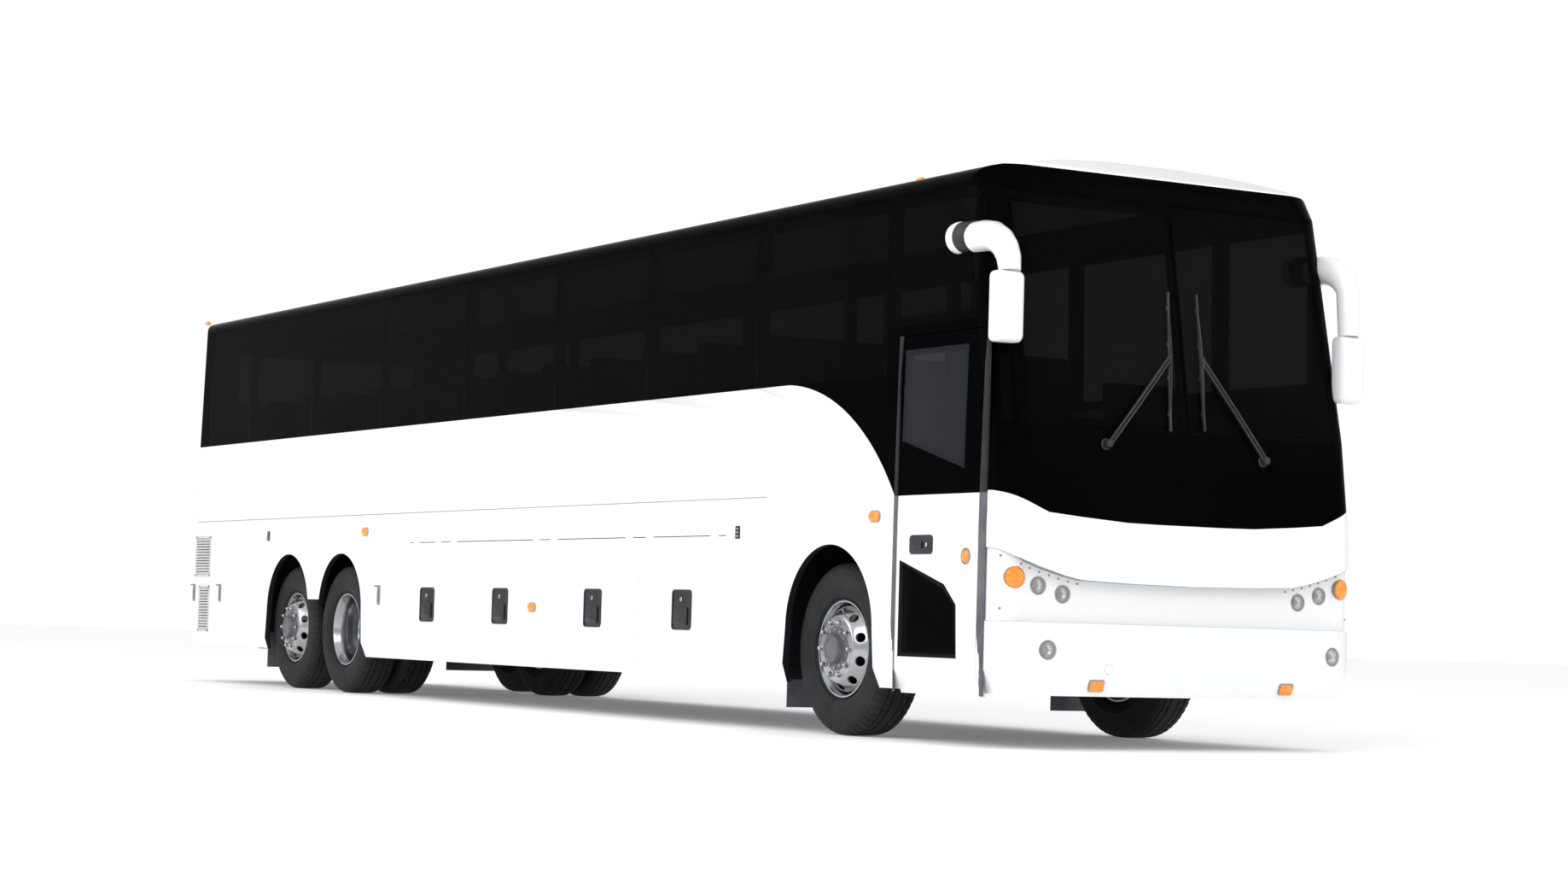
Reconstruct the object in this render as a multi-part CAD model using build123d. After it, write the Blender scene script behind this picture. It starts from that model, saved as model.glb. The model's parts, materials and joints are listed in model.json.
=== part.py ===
"""Three-axle coach bus, high-deck, right-hand entrance.

Frame: millimetres, +X forward, +Y to the left, +Z up, the origin on the ground
below the middle of the overall box.
"""
from build123d import *
import math
import os

os.makedirs("parts", exist_ok=True)

# ---- driving dimensions -------------------------------------------------
HALF_LENGTH = 6930.0
HALF_WIDTH = 1295.0
REAR_X = -6919.0           # rear face; the lid's hinge reaches 11 mm past it
SKIRT_Z = 312.0            # lower edge of the side panels
REAR_SKIRT_Z = 340.0
WAIST_Z = 1480.0           # crease between lower side and window band
BAND_Z = 2195.0            # lower edge of the window band
CANT_Z = 3262.0            # upper edge of the window band
ROOF_EDGE_Z = 3384.0
ROOF_EDGE_Y = 1135.0
CROWN_Z = 3500.0
WALL = 45.0                # whole wall: skin, frame and lining
GLASS = 8.0
GAP = 6.0                  # round every door and lid
MASK_Z = 1312.0            # lower edge of the windshield surround
LAMP_TOP_Z = 957.0
LAMP_BOTTOM_Z = 728.0
FLOOR_Z = 1400.0           # top of the passenger deck
REAR_CUT_X = -6600.0       # side panels end and the rear shell begins

WHEEL_R = 535.0
AXLE_Z = 535.0
FRONT_X, DRIVE_X, TAG_X = 4900.0, -3170.0, -4410.0
STEER_TRACK = 1050.0       # tyre centre of the front and tag wheels
OUTER_TWIN, INNER_TWIN = 1078.0, 728.0
KINGPIN_Y = 985.0
RIM_OFFSET = 175.0         # rim centre to the disc's mounting face
BORE_R = 60.0
RUN = 0.05                 # radial running clearance

# Body outline by height: half width, front at the centre, front corner radius, rear.
HULL = [
    dict(z=280, half=1238, front=6862, corner=165, rear=REAR_X + 45),
    dict(z=430, half=1295, front=6862, corner=165, rear=REAR_X),
    dict(z=1310, half=1295, front=6862, corner=175, rear=REAR_X),
    dict(z=1870, half=1288, front=6811, corner=200, rear=REAR_X),
    dict(z=3257, half=1262, front=6560, corner=260, rear=REAR_X + 25),
    dict(z=3620, half=1250, front=6440, corner=430, rear=REAR_X + 35),
]
BOW_R = 24000.0            # plan radius of the front
REAR_CORNER_R = 130.0

# Window dividers along the side, rear to front.
DIVIDERS = [-6560, -5510, -3970, -2410, -730, 880, 2340, 3890, 5490]
DIVIDER_W = 14.0
GLASS_LAP = 60.0           # pane beyond its opening

DOOR_X0, DOOR_X1, DOOR_Z0, DOOR_Z1 = 5684.0, 6562.0, 290.0, 2418.0

# Luggage and service doors: rear edge, front edge, top.
BAYS = [
    dict(name="service_door", x0=-1664, x1=-939, top=1250),
    dict(name="luggage_door_rear", x0=-939, x1=850, top=1250),
    dict(name="luggage_door_middle", x0=850, x1=2350, top=1250),
    dict(name="luggage_door_front", x0=2350, x1=3572, top=1250),
]

SIDES = [("right", -1), ("left", 1)]


def solids_of(shape):
    """Flat list of the solids in a shape or in a list of shapes."""
    if isinstance(shape, (list, tuple)):
        return [solid for item in shape for solid in solids_of(item)]
    return list(shape.solids()) if shape is not None else []


def common(first, second):
    """What two shapes share."""
    shared = []
    for a in solids_of(first):
        for b in solids_of(second):
            shared += solids_of(a.intersect(b))
    return shared


def cut(shape, *tools):
    """A shape less the tools."""
    cutters = solids_of(list(tools))
    if not cutters:
        return solids_of(shape)
    left = []
    for solid in solids_of(shape):
        left += solids_of(solid.cut(*cutters))
    return left


def fused(parts):
    """One shape from overlapping or touching parts."""
    first, *rest = solids_of(parts)
    return solids_of(first.fuse(*rest)) if rest else [first]


def save(shape, name):
    """Write one node."""
    solids = solids_of(shape)
    node = solids[0] if len(solids) == 1 else Compound(children=solids)
    node.label = name
    export_step(node, f"parts/{name}.step")


def box(x0, x1, y0, y1, z0, z1):
    """Axis-aligned box from its limits, in any order."""
    size = (abs(x1 - x0), abs(y1 - y0), abs(z1 - z0))
    middle = ((x0 + x1) / 2, (y0 + y1) / 2, (z0 + z1) / 2)
    return Pos(*middle) * Box(*size)


def side_box(side, x0, x1, y0, y1, z0, z1):
    """Box on one side; y0 and y1 are distances from the centre plane."""
    return box(x0, x1, side * y0, side * y1, z0, z1)


def rod_x(x0, x1, y, z, r):
    return Pos((x0 + x1) / 2, y, z) * Rot(0, 90, 0) * Cylinder(r, abs(x1 - x0))


def rod_y(x, y0, y1, z, r):
    return Pos(x, (y0 + y1) / 2, z) * Rot(90, 0, 0) * Cylinder(r, abs(y1 - y0))


def rod_z(x, y, z0, z1, r):
    return Pos(x, y, (z0 + z1) / 2) * Cylinder(r, abs(z1 - z0))


def bar(p, q, r):
    """Round bar between two points."""
    start, end = Vector(*p), Vector(*q)
    plane = Plane(origin=start, z_dir=(end - start).normalized())
    return Solid.make_cylinder(r, (end - start).length, plane)


def prism_xz(points, y0, y1):
    """Polygon in the XZ plane, extruded between two Y values."""
    low, high = min(y0, y1), max(y0, y1)
    wire = Wire.make_polygon([(x, low, z) for x, z in points], close=True)
    return Solid.extrude(Face(wire), Vector(0, high - low, 0))


def prism_yz(points, x0, x1):
    wire = Wire.make_polygon([(x0, y, z) for y, z in points], close=True)
    return Solid.extrude(Face(wire), Vector(x1 - x0, 0, 0))


# ---- the body's outer and inner surfaces --------------------------------
def plan_wire(level, inset):
    """Outline of the body at one height, moved in by inset."""
    z = level["z"]
    half = level["half"] - inset
    front = level["front"] - inset
    rc = level["corner"] - inset
    rear = level["rear"] + inset
    rr = REAR_CORNER_R - inset
    centre = front - BOW_R + math.sqrt((BOW_R - rc) ** 2 - (half - rc) ** 2)
    side = half - rc
    turn = math.atan2(side, centre - (front - BOW_R))
    middle = (turn + math.pi / 2) / 2
    tip = (centre + rc * math.cos(turn), side + rc * math.sin(turn))
    knee = (centre + rc * math.cos(middle), side + rc * math.sin(middle))
    chord = rr * (1 - math.sqrt(0.5))

    def arc(*points):
        return ThreePointArc(*[(x, y, z) for x, y in points])

    def line(*points):
        return Line(*[(x, y, z) for x, y in points])

    return Wire([
        line((rear + rr, -half), (centre, -half)),
        arc((centre, -half), (knee[0], -knee[1]), (tip[0], -tip[1])),
        arc((tip[0], -tip[1]), (front, 0), tip),
        arc(tip, knee, (centre, half)),
        line((centre, half), (rear + rr, half)),
        arc((rear + rr, half), (rear + chord, half - chord), (rear, half - rr)),
        line((rear, half - rr), (rear, -half + rr)),
        arc((rear, -half + rr), (rear + chord, -half + chord), (rear + rr, -half)),
    ])


def roof_block(inset):
    """Everything below the roof's cross-section."""
    r = ROOF_CURVE_R - inset
    edge_y = ROOF_EDGE_Y
    centre_z = ROOF_EDGE_Z - ROOF_CURVE_R
    lean = math.asin(edge_y / CROWN_R)
    a = (edge_y + r * math.sin(lean), centre_z + r * math.cos(lean))
    half = math.pi / 4 + lean / 2
    m = (edge_y + r * math.sin(half), centre_z + r * math.cos(half))
    x = -HALF_LENGTH - 100

    def p(y, z):
        return (x, y, z)

    wide = HALF_WIDTH + 60
    wire = Wire([
        Line(p(-wide, 100), p(wide, 100)),
        Line(p(wide, 100), p(wide, centre_z)),
        Line(p(wide, centre_z), p(edge_y + r, centre_z)),
        ThreePointArc(p(edge_y + r, centre_z), p(*m), p(*a)),
        ThreePointArc(p(*a), p(0, CROWN_Z - inset), p(-a[0], a[1])),
        ThreePointArc(p(-a[0], a[1]), p(-m[0], m[1]), p(-edge_y - r, centre_z)),
        Line(p(-edge_y - r, centre_z), p(-wide, centre_z)),
        Line(p(-wide, centre_z), p(-wide, 100)),
    ])
    return Solid.extrude(Face(wire), Vector(2 * HALF_LENGTH + 200, 0, 0))


def nose_block(inset):
    """Everything below and behind the rounded front and rear roof ends."""
    i = inset
    y = -HALF_WIDTH - 80

    def p(x, z):
        return (x, y, z)

    wire = Wire([
        Line(p(-7100, 100), p(7100, 100)),
        Line(p(7100, 100), p(7100, 3250)),
        Line(p(7100, 3250), p(6568 - i, 3250)),
        ThreePointArc(p(6568 - i, 3250), p(6466 - i, 3420 - i), p(6180 - i, CROWN_Z + 4 - i)),
        Line(p(6180 - i, CROWN_Z + 4 - i), p(REAR_X + 290 + i, CROWN_Z + 4 - i)),
        ThreePointArc(p(REAR_X + 290 + i, CROWN_Z + 4 - i), p(REAR_X + 96 + i, 3424 - i), p(REAR_X + 15 + i, 3230)),
        Line(p(REAR_X + 15 + i, 3230), p(-7100, 3230)),
        Line(p(-7100, 3230), p(-7100, 100)),
    ])
    return Solid.extrude(Face(wire), Vector(0, 2 * HALF_WIDTH + 160, 0))


ROOF_CURVE_R = 128.0
CROWN_R = (ROOF_EDGE_Y ** 2 + (CROWN_Z - ROOF_EDGE_Z) ** 2) / (2 * (CROWN_Z - ROOF_EDGE_Z))


def hull(inset, low=0.0):
    """The body's closed outer shape, moved in by inset; low extends it down."""
    levels = [dict(level) for level in HULL]
    levels[0]["z"] -= low
    solid = Solid.make_loft([plan_wire(level, inset) for level in levels], ruled=True)
    return common(common(solid, roof_block(inset)), nose_block(inset))


OUTER = hull(0)
GLASS_BACK = hull(GLASS, 40)
INNER = hull(WALL, 80)
SHELL = cut(OUTER, INNER)
SKIN = cut(OUTER, GLASS_BACK)
LINING = cut(GLASS_BACK, INNER)

# Zones that the shell is split into.
A_POST = [(6590, SKIRT_Z - 60), (6590, DOOR_Z1 + 12), (6478, CANT_Z)]
FRONT_ZONE = prism_xz(A_POST + [(7200, CANT_Z), (7200, SKIRT_Z - 60)], -1400, 1400)
REAR_ZONE = box(-7100, REAR_CUT_X, -1400, 1400, 100, 3700)
ROOF_ZONE = box(REAR_CUT_X, 7100, -1400, 1400, CANT_Z, 3700)


def sweep_line(y0, y1):
    """Region above the curved edge between the white side and the black front corner."""
    y_low = min(y0, y1)
    bottom = WAIST_Z - 20
    start, knee, end = (4325, BAND_Z), (5050, 1986), (5640, bottom)

    def p(point):
        return (point[0], y_low, point[1])

    wire = Wire([
        ThreePointArc(p(start), p(knee), p(end)),
        Line(p(end), p((7200, bottom))),
        Line(p((7200, bottom)), p((7200, BAND_Z))),
        Line(p((7200, BAND_Z)), p(start)),
    ])
    return Solid.extrude(Face(wire), Vector(0, abs(y1 - y0), 0))


# ---- side structure -----------------------------------------------------
ARCHES = [
    dict(x=FRONT_X, r=522, crown=1177),
    dict(x=-4345, r=495, crown=1170),
    dict(x=-3130, r=480, crown=1170),
]
ARCH_MERGE_Z = 780.0


def arch_cut(side):
    """Wheel openings of one side."""
    cuts = []
    for arch in ARCHES:
        centre_z = arch["crown"] - arch["r"]
        r = arch["r"]
        foot = r + 46
        legs = prism_xz(
            [(arch["x"] - r, centre_z), (arch["x"] + r, centre_z),
             (arch["x"] + foot, 200), (arch["x"] - foot, 200)],
            side * 1150, side * 1400)
        cuts.append(legs)
        cuts.append(rod_y(arch["x"], side * 1150, side * 1400, centre_z, r))
    cuts.append(side_box(side, ARCHES[1]["x"], ARCHES[2]["x"], 1150, 1400, 200, ARCH_MERGE_Z))
    return cuts


def door_space(side, grow=0.0):
    return side_box(side, DOOR_X0 - grow, DOOR_X1 + grow, 1100, 1400,
                    DOOR_Z0 - 60, DOOR_Z1 + grow)


def pane_limits(side):
    """X and Z limits of each pane of one side."""
    panes = []
    for rear, front in zip(DIVIDERS, DIVIDERS[1:]):
        panes.append((rear + DIVIDER_W / 2, front - DIVIDER_W / 2, BAND_Z, CANT_Z))
    low = DOOR_Z1 + 60 if side < 0 else BAND_Z
    panes.append((5490 + DIVIDER_W / 2, 6440, low, CANT_Z))
    return panes


def half(side):
    return side_box(side, REAR_CUT_X, 7100, 0, 1400, 100, CANT_Z)


def pane_spaces(side):
    cuts = []
    for x0, x1, z0, z1 in pane_limits(side):
        cuts.append(side_box(side, x0 + GLASS_LAP, x1 - GLASS_LAP, 1000, 1400,
                             z0 + GLASS_LAP, z1 - GLASS_LAP))
    return cuts


# ---- hinges -------------------------------------------------------------
HINGE_OUT = 4.0            # hinge axis outside the skin
BARREL_R = 7.0
BARREL = 50.0              # length of one knuckle
BARREL_END = 0.3
NOTCH = 1.0                # round the other leaf's knuckle


def hinge_pairs(centres, place):
    """Fixed and free knuckles side by side at each centre; place(a, b, r) makes a barrel."""
    fixed, free = [], []
    for centre in centres:
        fixed.append((centre - BARREL, centre - BARREL_END / 2))
        free.append((centre + BARREL_END / 2, centre + BARREL))
    return ([(place, span) for span in fixed], [(place, span) for span in free])


def hinged(leaf, own, other):
    """Notch a leaf for the other leaf's knuckles and add its own."""
    notches = [place(a - NOTCH, b + NOTCH, BARREL_R + NOTCH) for place, (a, b) in other]
    barrels = [place(a, b, BARREL_R) for place, (a, b) in own]
    return fused([cut(leaf, *notches), *barrels])


def bay_hinges(side, bays=None):
    fixed, free = [], []
    for bay in bays or BAYS:
        y = side * (HALF_WIDTH + HINGE_OUT)
        z = bay["top"] - GAP / 2

        def place(a, b, r, y=y, z=z):
            return rod_x(a, b, y, z, r)

        pair = hinge_pairs((bay["x0"] + 150, bay["x1"] - 150), place)
        fixed += pair[0]
        free += pair[1]
    return fixed, free


def door_hinges():
    def place(a, b, r):
        return rod_z(DOOR_X1 - GAP / 2, -HALF_WIDTH - HINGE_OUT, a, b, r)

    return hinge_pairs((620, 1240), place)


def lid_hinges():
    def place(a, b, r):
        return rod_y(REAR_X - HINGE_OUT, a, b, ENGINE_DOOR["z1"] - GAP / 2, r)

    return hinge_pairs((-560, 560), place)


def build_sides():
    panes = []
    corners = []
    for name, side in SIDES:
        zone = half(side)
        shell = cut(common(SHELL, zone), FRONT_ZONE)
        spaces = [side_box(side, REAR_CUT_X, -4700, 1100, 1400, 100, REAR_SKIRT_Z),
                  box(REAR_CUT_X, 7100, -1400, 1400, 100, SKIRT_Z)]
        spaces += arch_cut(side) + pane_spaces(side)
        for bay in BAYS:
            spaces.append(side_box(side, bay["x0"], bay["x1"], 1100, 1400, 100, bay["top"]))
        if side < 0:
            spaces.append(door_space(side))
        for space in spaces:
            shell = cut(shell, space)
        fixed, free = bay_hinges(side)
        if side < 0:
            door_fixed, door_free = door_hinges()
            fixed += door_fixed
            free += door_free
        shell = hinged(shell, fixed, free)
        skins = []
        for x0, x1, z0, z1 in pane_limits(side):
            skins.append(side_box(side, x0, x1, 1000, 1400, z0, z1))
        zone_skin = cut(common(SKIN, zone), FRONT_ZONE)
        for skin_box in skins:
            pane = common(zone_skin, skin_box)
            panes += pane
            shell = cut(shell, pane)
        corner_zone = sweep_line(side * 1100, side * 1400)
        above = side_box(side, 5490, 7200, 1000, 1400, BAND_Z, CANT_Z)
        corner_zone = fused([corner_zone, above])
        corners += common(shell, corner_zone)
        save(cut(shell, corner_zone), f"side_wall_{name}")
    save(panes, "side_glass")
    save(corners, "corner_panels")


def build_roof():
    roof = common(SHELL, ROOF_ZONE)
    save(roof, "roof_panel")
    pods = []
    pod = prism_yz([(-190, 3440), (190, 3440), (150, 3560), (-150, 3560)], 4980, 5420)
    bump = prism_yz([(-190, 3440), (190, 3440), (150, 3545), (-150, 3545)], -6400, -6000)
    for piece in (pod, bump):
        pods += cut(piece, OUTER)
    save(pods, "roof_pods")


# ---- front --------------------------------------------------------------
def build_front():
    front = common(SHELL, FRONT_ZONE)
    surround_zone = box(6000, 7200, -1400, 1400, MASK_Z, CANT_Z)
    surround = common(front, surround_zone)
    pane_zone = box(6480, 7100, -1165, 1165, 1850, 3225)
    opening = box(6000, 7100, -1105, 1105, 1850 + 60, 3225 - 60)
    pane_skin = common(common(SKIN, FRONT_ZONE), pane_zone)
    divider = box(6000, 7100, -7, 7, 1500, 3400)
    panes = cut(pane_skin, divider)
    surround = cut(cut(surround, opening), panes)
    mullion = common(common(LINING, FRONT_ZONE), box(6000, 7100, -25, 25, 1900, 3180))
    surround = fused([surround, mullion])
    save(surround, "windshield_surround")
    save(panes, "windshield_glass")

    mask = common(front, box(6000, 7200, -1400, 1400, LAMP_TOP_Z, MASK_Z))
    save(mask, "front_mask")
    lamp_zone = box(6000, 7200, -1400, 1400, LAMP_BOTTOM_Z, LAMP_TOP_Z)
    band_shell = common(cut(hull_moved(LAMP_RECESS), hull_moved(LAMP_RECESS + WALL, WALL)), lamp_zone)
    band = common(band_shell, FRONT_ZONE)
    lamps = []
    for y, z, r in FRONT_LAMPS:
        for side in (-1, 1):
            lens = common(band, rod_x(6500, 7000, side * y, z, r + 4))
            lamps += lens
            band = cut(band, lens)
    save(band, "lamp_band")

    bumper_outer = bumper_block(0)
    bumper_inner = bumper_block(60)
    bumper = cut(bumper_outer, bumper_inner)
    for side in (-1, 1):
        fog = common(bumper, rod_x(6600, 7100, side * FOG["y"], FOG["z"], FOG["r"] + 4))
        lamps += fog
        bumper = cut(bumper, fog)
    bumper = cut(bumper, rod_x(6700, 7100, TOW_Y, TOW_Z, TOW_R))
    save(bumper, "front_bumper")
    save(lamps, "front_lamps")


LAMP_RECESS = 87.0
FRONT_LAMPS = [(1130, 888, 48), (1000, 866, 50), (860, 850, 50)]
FOG = dict(y=1035, z=572, r=52)
TOW_Y, TOW_Z, TOW_R = -620.0, 470.0, 30.0


def hull_moved(back, inset=0.0):
    """The straight lower nose, moved back."""
    level = dict(HULL[1])
    level["front"] -= back - inset
    low, high = dict(level, z=600), dict(level, z=1100)
    return Solid.make_loft([plan_wire(low, inset), plan_wire(high, inset)], ruled=True)


def bumper_block(inset):
    low = dict(HULL[1], z=SKIRT_Z - (1 if inset else 0), half=HALF_WIDTH - 50, front=6885, corner=260)
    mid = dict(HULL[1], z=450, front=HALF_LENGTH, corner=280)
    top = dict(mid, z=LAMP_BOTTOM_Z - (WALL if inset else 0))
    wires = [plan_wire(level, inset) for level in (low, mid, top)]
    return common(Solid.make_loft(wires, ruled=True), box(6590, 7100, -1400, 1400, 100, 1000))


# ---- rear ---------------------------------------------------------------
ENGINE_DOOR = dict(y=860, z0=470, z1=1430)


def build_rear():
    d = ENGINE_DOOR
    rear = cut(common(SHELL, REAR_ZONE), box(-7100, -6000, -1400, 1400, 100, REAR_SKIRT_Z))
    rear = cut(rear, box(-7100, -6700, -d["y"], d["y"], d["z0"], d["z1"]))
    window = box(-7100, -6700, -900, 900, 2300, 3100)
    pane = common(common(SKIN, REAR_ZONE), box(-7100, -6700, -960, 960, 2240, 3160))
    rear = cut(cut(rear, window), pane)
    lamps = []
    for side in (-1, 1):
        for z in (1560, 1700, 1840):
            lens = common(SKIN, rod_x(-7000, -6800, side * 1080, z, 62))
            lamps += lens
            rear = cut(rear, lens)
    fixed, free = lid_hinges()
    rear = hinged(rear, fixed, free)
    save(rear, "rear_shell")
    save(pane, "rear_glass")
    save(lamps, "rear_lamps")
    lid = common(SHELL, box(-7100, -6700, -d["y"] + GAP, d["y"] - GAP, d["z0"] + GAP, d["z1"] - GAP))
    save(hinged(lid, free, fixed), "engine_door")
    beam = box(-6885, -6700, -1180, 1180, REAR_SKIRT_Z + 10, REAR_SKIRT_Z + 110)
    save(common(beam, INNER), "rear_bumper_beam")


# ---- doors --------------------------------------------------------------
def build_entrance_door():
    leaf = common(SHELL, box(DOOR_X0 + GAP, DOOR_X1 - GAP, -1400, -1100, DOOR_Z0, DOOR_Z1 - GAP))
    fixed, free = door_hinges()
    leaf = hinged(leaf, free, fixed)
    upper = [(5706, 1790), (6390, 1605), (6390, 2330), (5706, 2330)]
    lower = [(5718, 1078), (6208, 935), (6339, 816), (6355, 505), (5718, 505)]
    glass = []
    for outline, lap in ((upper, 30), (lower, 24)):
        pane = prism_xz(outline, -1400, -1100)
        centre = (sum(x for x, _ in outline) / len(outline), sum(z for _, z in outline) / len(outline))
        hole_points = []
        for x, z in outline:
            away = math.hypot(x - centre[0], z - centre[1])
            k = 1 - lap * 1.5 / away
            hole_points.append((centre[0] + k * (x - centre[0]), centre[1] + k * (z - centre[1])))
        hole = prism_xz(hole_points, -1400, -1100)
        skin = common(SKIN, pane)
        leaf = cut(cut(leaf, hole), skin)
        glass += skin
    save(leaf, "entrance_door")
    save(glass, "entrance_door_glass")


def build_bays():
    for name, side in SIDES:
        for bay in BAYS:
            zone = side_box(side, bay["x0"] + GAP / 2, bay["x1"] - GAP / 2, 1100, 1400,
                            SKIRT_Z, bay["top"] - GAP)
            leaf = common(SHELL, zone)
            fixed, free = bay_hinges(side, [bay])
            save(hinged(leaf, free, fixed), f"{bay['name']}_{name}")


# ---- under the body -----------------------------------------------------
def build_floor():
    deck = box(REAR_CUT_X + 60, 5620, -DECK_HALF, DECK_HALF, FLOOR_Z - 50, FLOOR_Z)
    riser = box(5580, 5620, -DECK_HALF, DECK_HALF, CAB_Z - 50, FLOOR_Z - 50)
    cab = box(5580, 6600, -560, 1225, CAB_Z - 50, CAB_Z)
    steps = [
        box(5580, 6560, -700, -560, 760, CAB_Z),
        box(5580, 6560, -900, -700, 520, 800),
        box(5580, 6560, -1190, -900, 330, 560),
    ]
    wall = box(5580, 5620, -1190, -560, 330, CAB_Z)
    save(fused([deck, riser, cab, *steps, wall]), "floor_deck")


def build_chassis():
    pieces = []
    for side in (-1, 1):
        pieces.append(side_box(side, -6540, 6540, RAIL_IN, RAIL_OUT, RAIL_Z0, RAIL_Z1))
    for x in (-5240, -3790, -2300, -600, 1100, 2800, 4100, 5700, 6480):
        pieces.append(box(x - 40, x + 40, -RAIL_OUT, RAIL_OUT, RAIL_Z0 + 20, RAIL_Z1 - 20))
    for x in (-5250, -1705, 850, 3705):
        half = BULKHEAD_HALF if x in (-1705, 3705) else BULKHEAD_HALF - 10
        low = BAY_FLOOR_Z
        outline = [(-half, FLOOR_Z - 50), (-half, 440), (-1190, low), (1190, low), (half, 440),
                   (half, FLOOR_Z - 50)]
        pieces.append(prism_yz(outline, x - 20, x + 20))
    pieces.append(box(-1725, 3725, -1190, 1190, BAY_FLOOR_Z, BAY_FLOOR_Z + 20))
    pieces.append(box(-5950, -5890, -BULKHEAD_HALF, BULKHEAD_HALF, 1290, FLOOR_Z - 50))
    frame = fused(pieces)
    save(frame, "chassis_frame")
    engine = box(-6540, -5300, -RAIL_IN, RAIL_IN, 520, 1250)
    save(engine, "engine_block")


def build_liners():
    """Boxes round the wheels."""
    t = 10.0
    liners = []
    for side in (-1, 1):
        for x0, x1, low, axles in ((FRONT_X - 660, FRONT_X + 640, 330, (FRONT_X,)),
                                   (-5060, -2520, 480, (DRIVE_X, TAG_X))):
            out = side_box(side, x0, x1, 480, BULKHEAD_HALF, low, 1240)
            spaces = [side_box(side, x0 + t, x1 - t, 480 + t, 1300, low - 10, 1240 - t),
                      side_box(side, x0 - 10, x1 + 10, 1190, 1300, 300, 440)]
            for x in axles:
                spaces.append(side_box(side, x - 140, x + 140, 400, 600, 300, 720))
            liners += cut(out, *spaces)
    save(liners, "wheel_arch_liners")


def build_axles():
    beam = box(FRONT_X - 50, FRONT_X + 50, -KINGPIN_Y + 150, KINGPIN_Y - 150, 400, 500)
    pieces = [beam]
    for side in (-1, 1):
        pieces.append(side_box(side, FRONT_X - 45, FRONT_X + 45, KINGPIN_Y - 160, KINGPIN_Y - 70, 440, 560))
        pieces.append(side_box(side, FRONT_X - 45, FRONT_X + 45, KINGPIN_Y - 80, KINGPIN_Y - 20, EYE_Z0, EYE_Z1))
        pieces.append(rod_z(FRONT_X, side * KINGPIN_Y, EYE_Z0, EYE_Z1, 55))
    front = fused(pieces)
    for side in (-1, 1):
        front = cut(front, rod_z(FRONT_X, side * KINGPIN_Y, 300, 800, KINGPIN_R))

    tube = rod_y(DRIVE_X, -560, 560, AXLE_Z, 85)
    bowl = Pos(DRIVE_X, 0, AXLE_Z) * Sphere(235)
    seats = [side_box(side, DRIVE_X - 60, DRIVE_X + 60, 365, 485, AXLE_Z, SEAT_Z) for side in (-1, 1)]
    drive = fused([tube, bowl, *seats, spindle(DRIVE_X, -1, 540, 1000), spindle(DRIVE_X, 1, 540, 1000)])
    tag = fused([
        box(TAG_X - 60, TAG_X + 60, -720, 720, AXLE_Z - 60, AXLE_Z + 60),
        spindle(TAG_X, -1, 700, 1190), spindle(TAG_X, 1, 700, 1190),
    ])
    save([front, drive, tag], "axles")

    save(air_springs(), "air_springs")


EYE_Z0, EYE_Z1 = 465.0, 605.0
RAIL_IN, RAIL_OUT, RAIL_Z0, RAIL_Z1 = 390.0, 460.0, 660.0, 840.0
DECK_HALF = 1248.2
BULKHEAD_HALF = 1249.4
BAY_FLOOR_Z = 330.0
SEAT_Z = 628.0
CAB_Z = 1050.0
KINGPIN_R = 25.0
SPINDLE_R = 60.0


def spindle(x, side, y0, y1):
    return rod_y(x, side * y0, side * y1, AXLE_Z, SPINDLE_R)


def air_springs():
    """One bellows between each axle end and its frame rail."""
    bags = []
    for side in (-1, 1):
        bags.append(rod_z(FRONT_X, side * 425, 500, RAIL_Z0, 48))
        bags.append(rod_z(TAG_X, side * 425, AXLE_Z + 60, RAIL_Z0, 48))
        bags.append(rod_z(DRIVE_X, side * 425, SEAT_Z, RAIL_Z0, 48))
    return bags


def build_knuckles():
    for name, side in SIDES:
        pin = rod_z(FRONT_X, side * KINGPIN_Y, EYE_Z0 - 45, EYE_Z1 + 45, KINGPIN_R - RUN)
        yoke = []
        for z0, z1 in ((EYE_Z0 - 45, EYE_Z0 - 5), (EYE_Z1 + 5, EYE_Z1 + 45)):
            yoke.append(rod_z(FRONT_X, side * KINGPIN_Y, z0, z1, 50))
            yoke.append(side_box(side, FRONT_X - 50, FRONT_X + 50, KINGPIN_Y, KINGPIN_Y + 90, z0, z1))
        web = side_box(side, FRONT_X - 50, FRONT_X + 50, KINGPIN_Y + 62, KINGPIN_Y + 90,
                       EYE_Z0 - 45, EYE_Z1 + 45)
        arm = rod_y(FRONT_X, side * (KINGPIN_Y + 80), side * 1190, AXLE_Z, SPINDLE_R)
        save(fused([*yoke, web, pin, arm]), f"knuckle_{name}")


# ---- wheels -------------------------------------------------------------
TYRE_HALF = 157.0
RIM_HALF = 127.0


def ring(points, arcs=()):
    """Revolve a closed outline given as (axial, radius) points about the axial line."""
    wire = Wire.make_polygon([(0, a, r) for a, r in points], close=True)
    return Solid.revolve(Face(wire), 360.0, Axis((0, 0, 0), (0, 1, 0)))


def tyre():
    bead = 289.4
    outline = [(-114, bead), (-114, 304), (-136, 322), (-150, 360), (-157, 420), (-150, 480), (-136, 518),
               (-112, 535), (112, 535), (136, 518), (150, 480), (157, 420), (150, 360), (136, 322),
               (114, 304), (114, bead), (98, bead), (110, 330), (128, 380), (134, 425), (126, 480),
               (100, 508), (-100, 508), (-126, 480), (-134, 425), (-128, 380), (-110, 330), (-98, bead)]
    return ring(outline)


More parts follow.
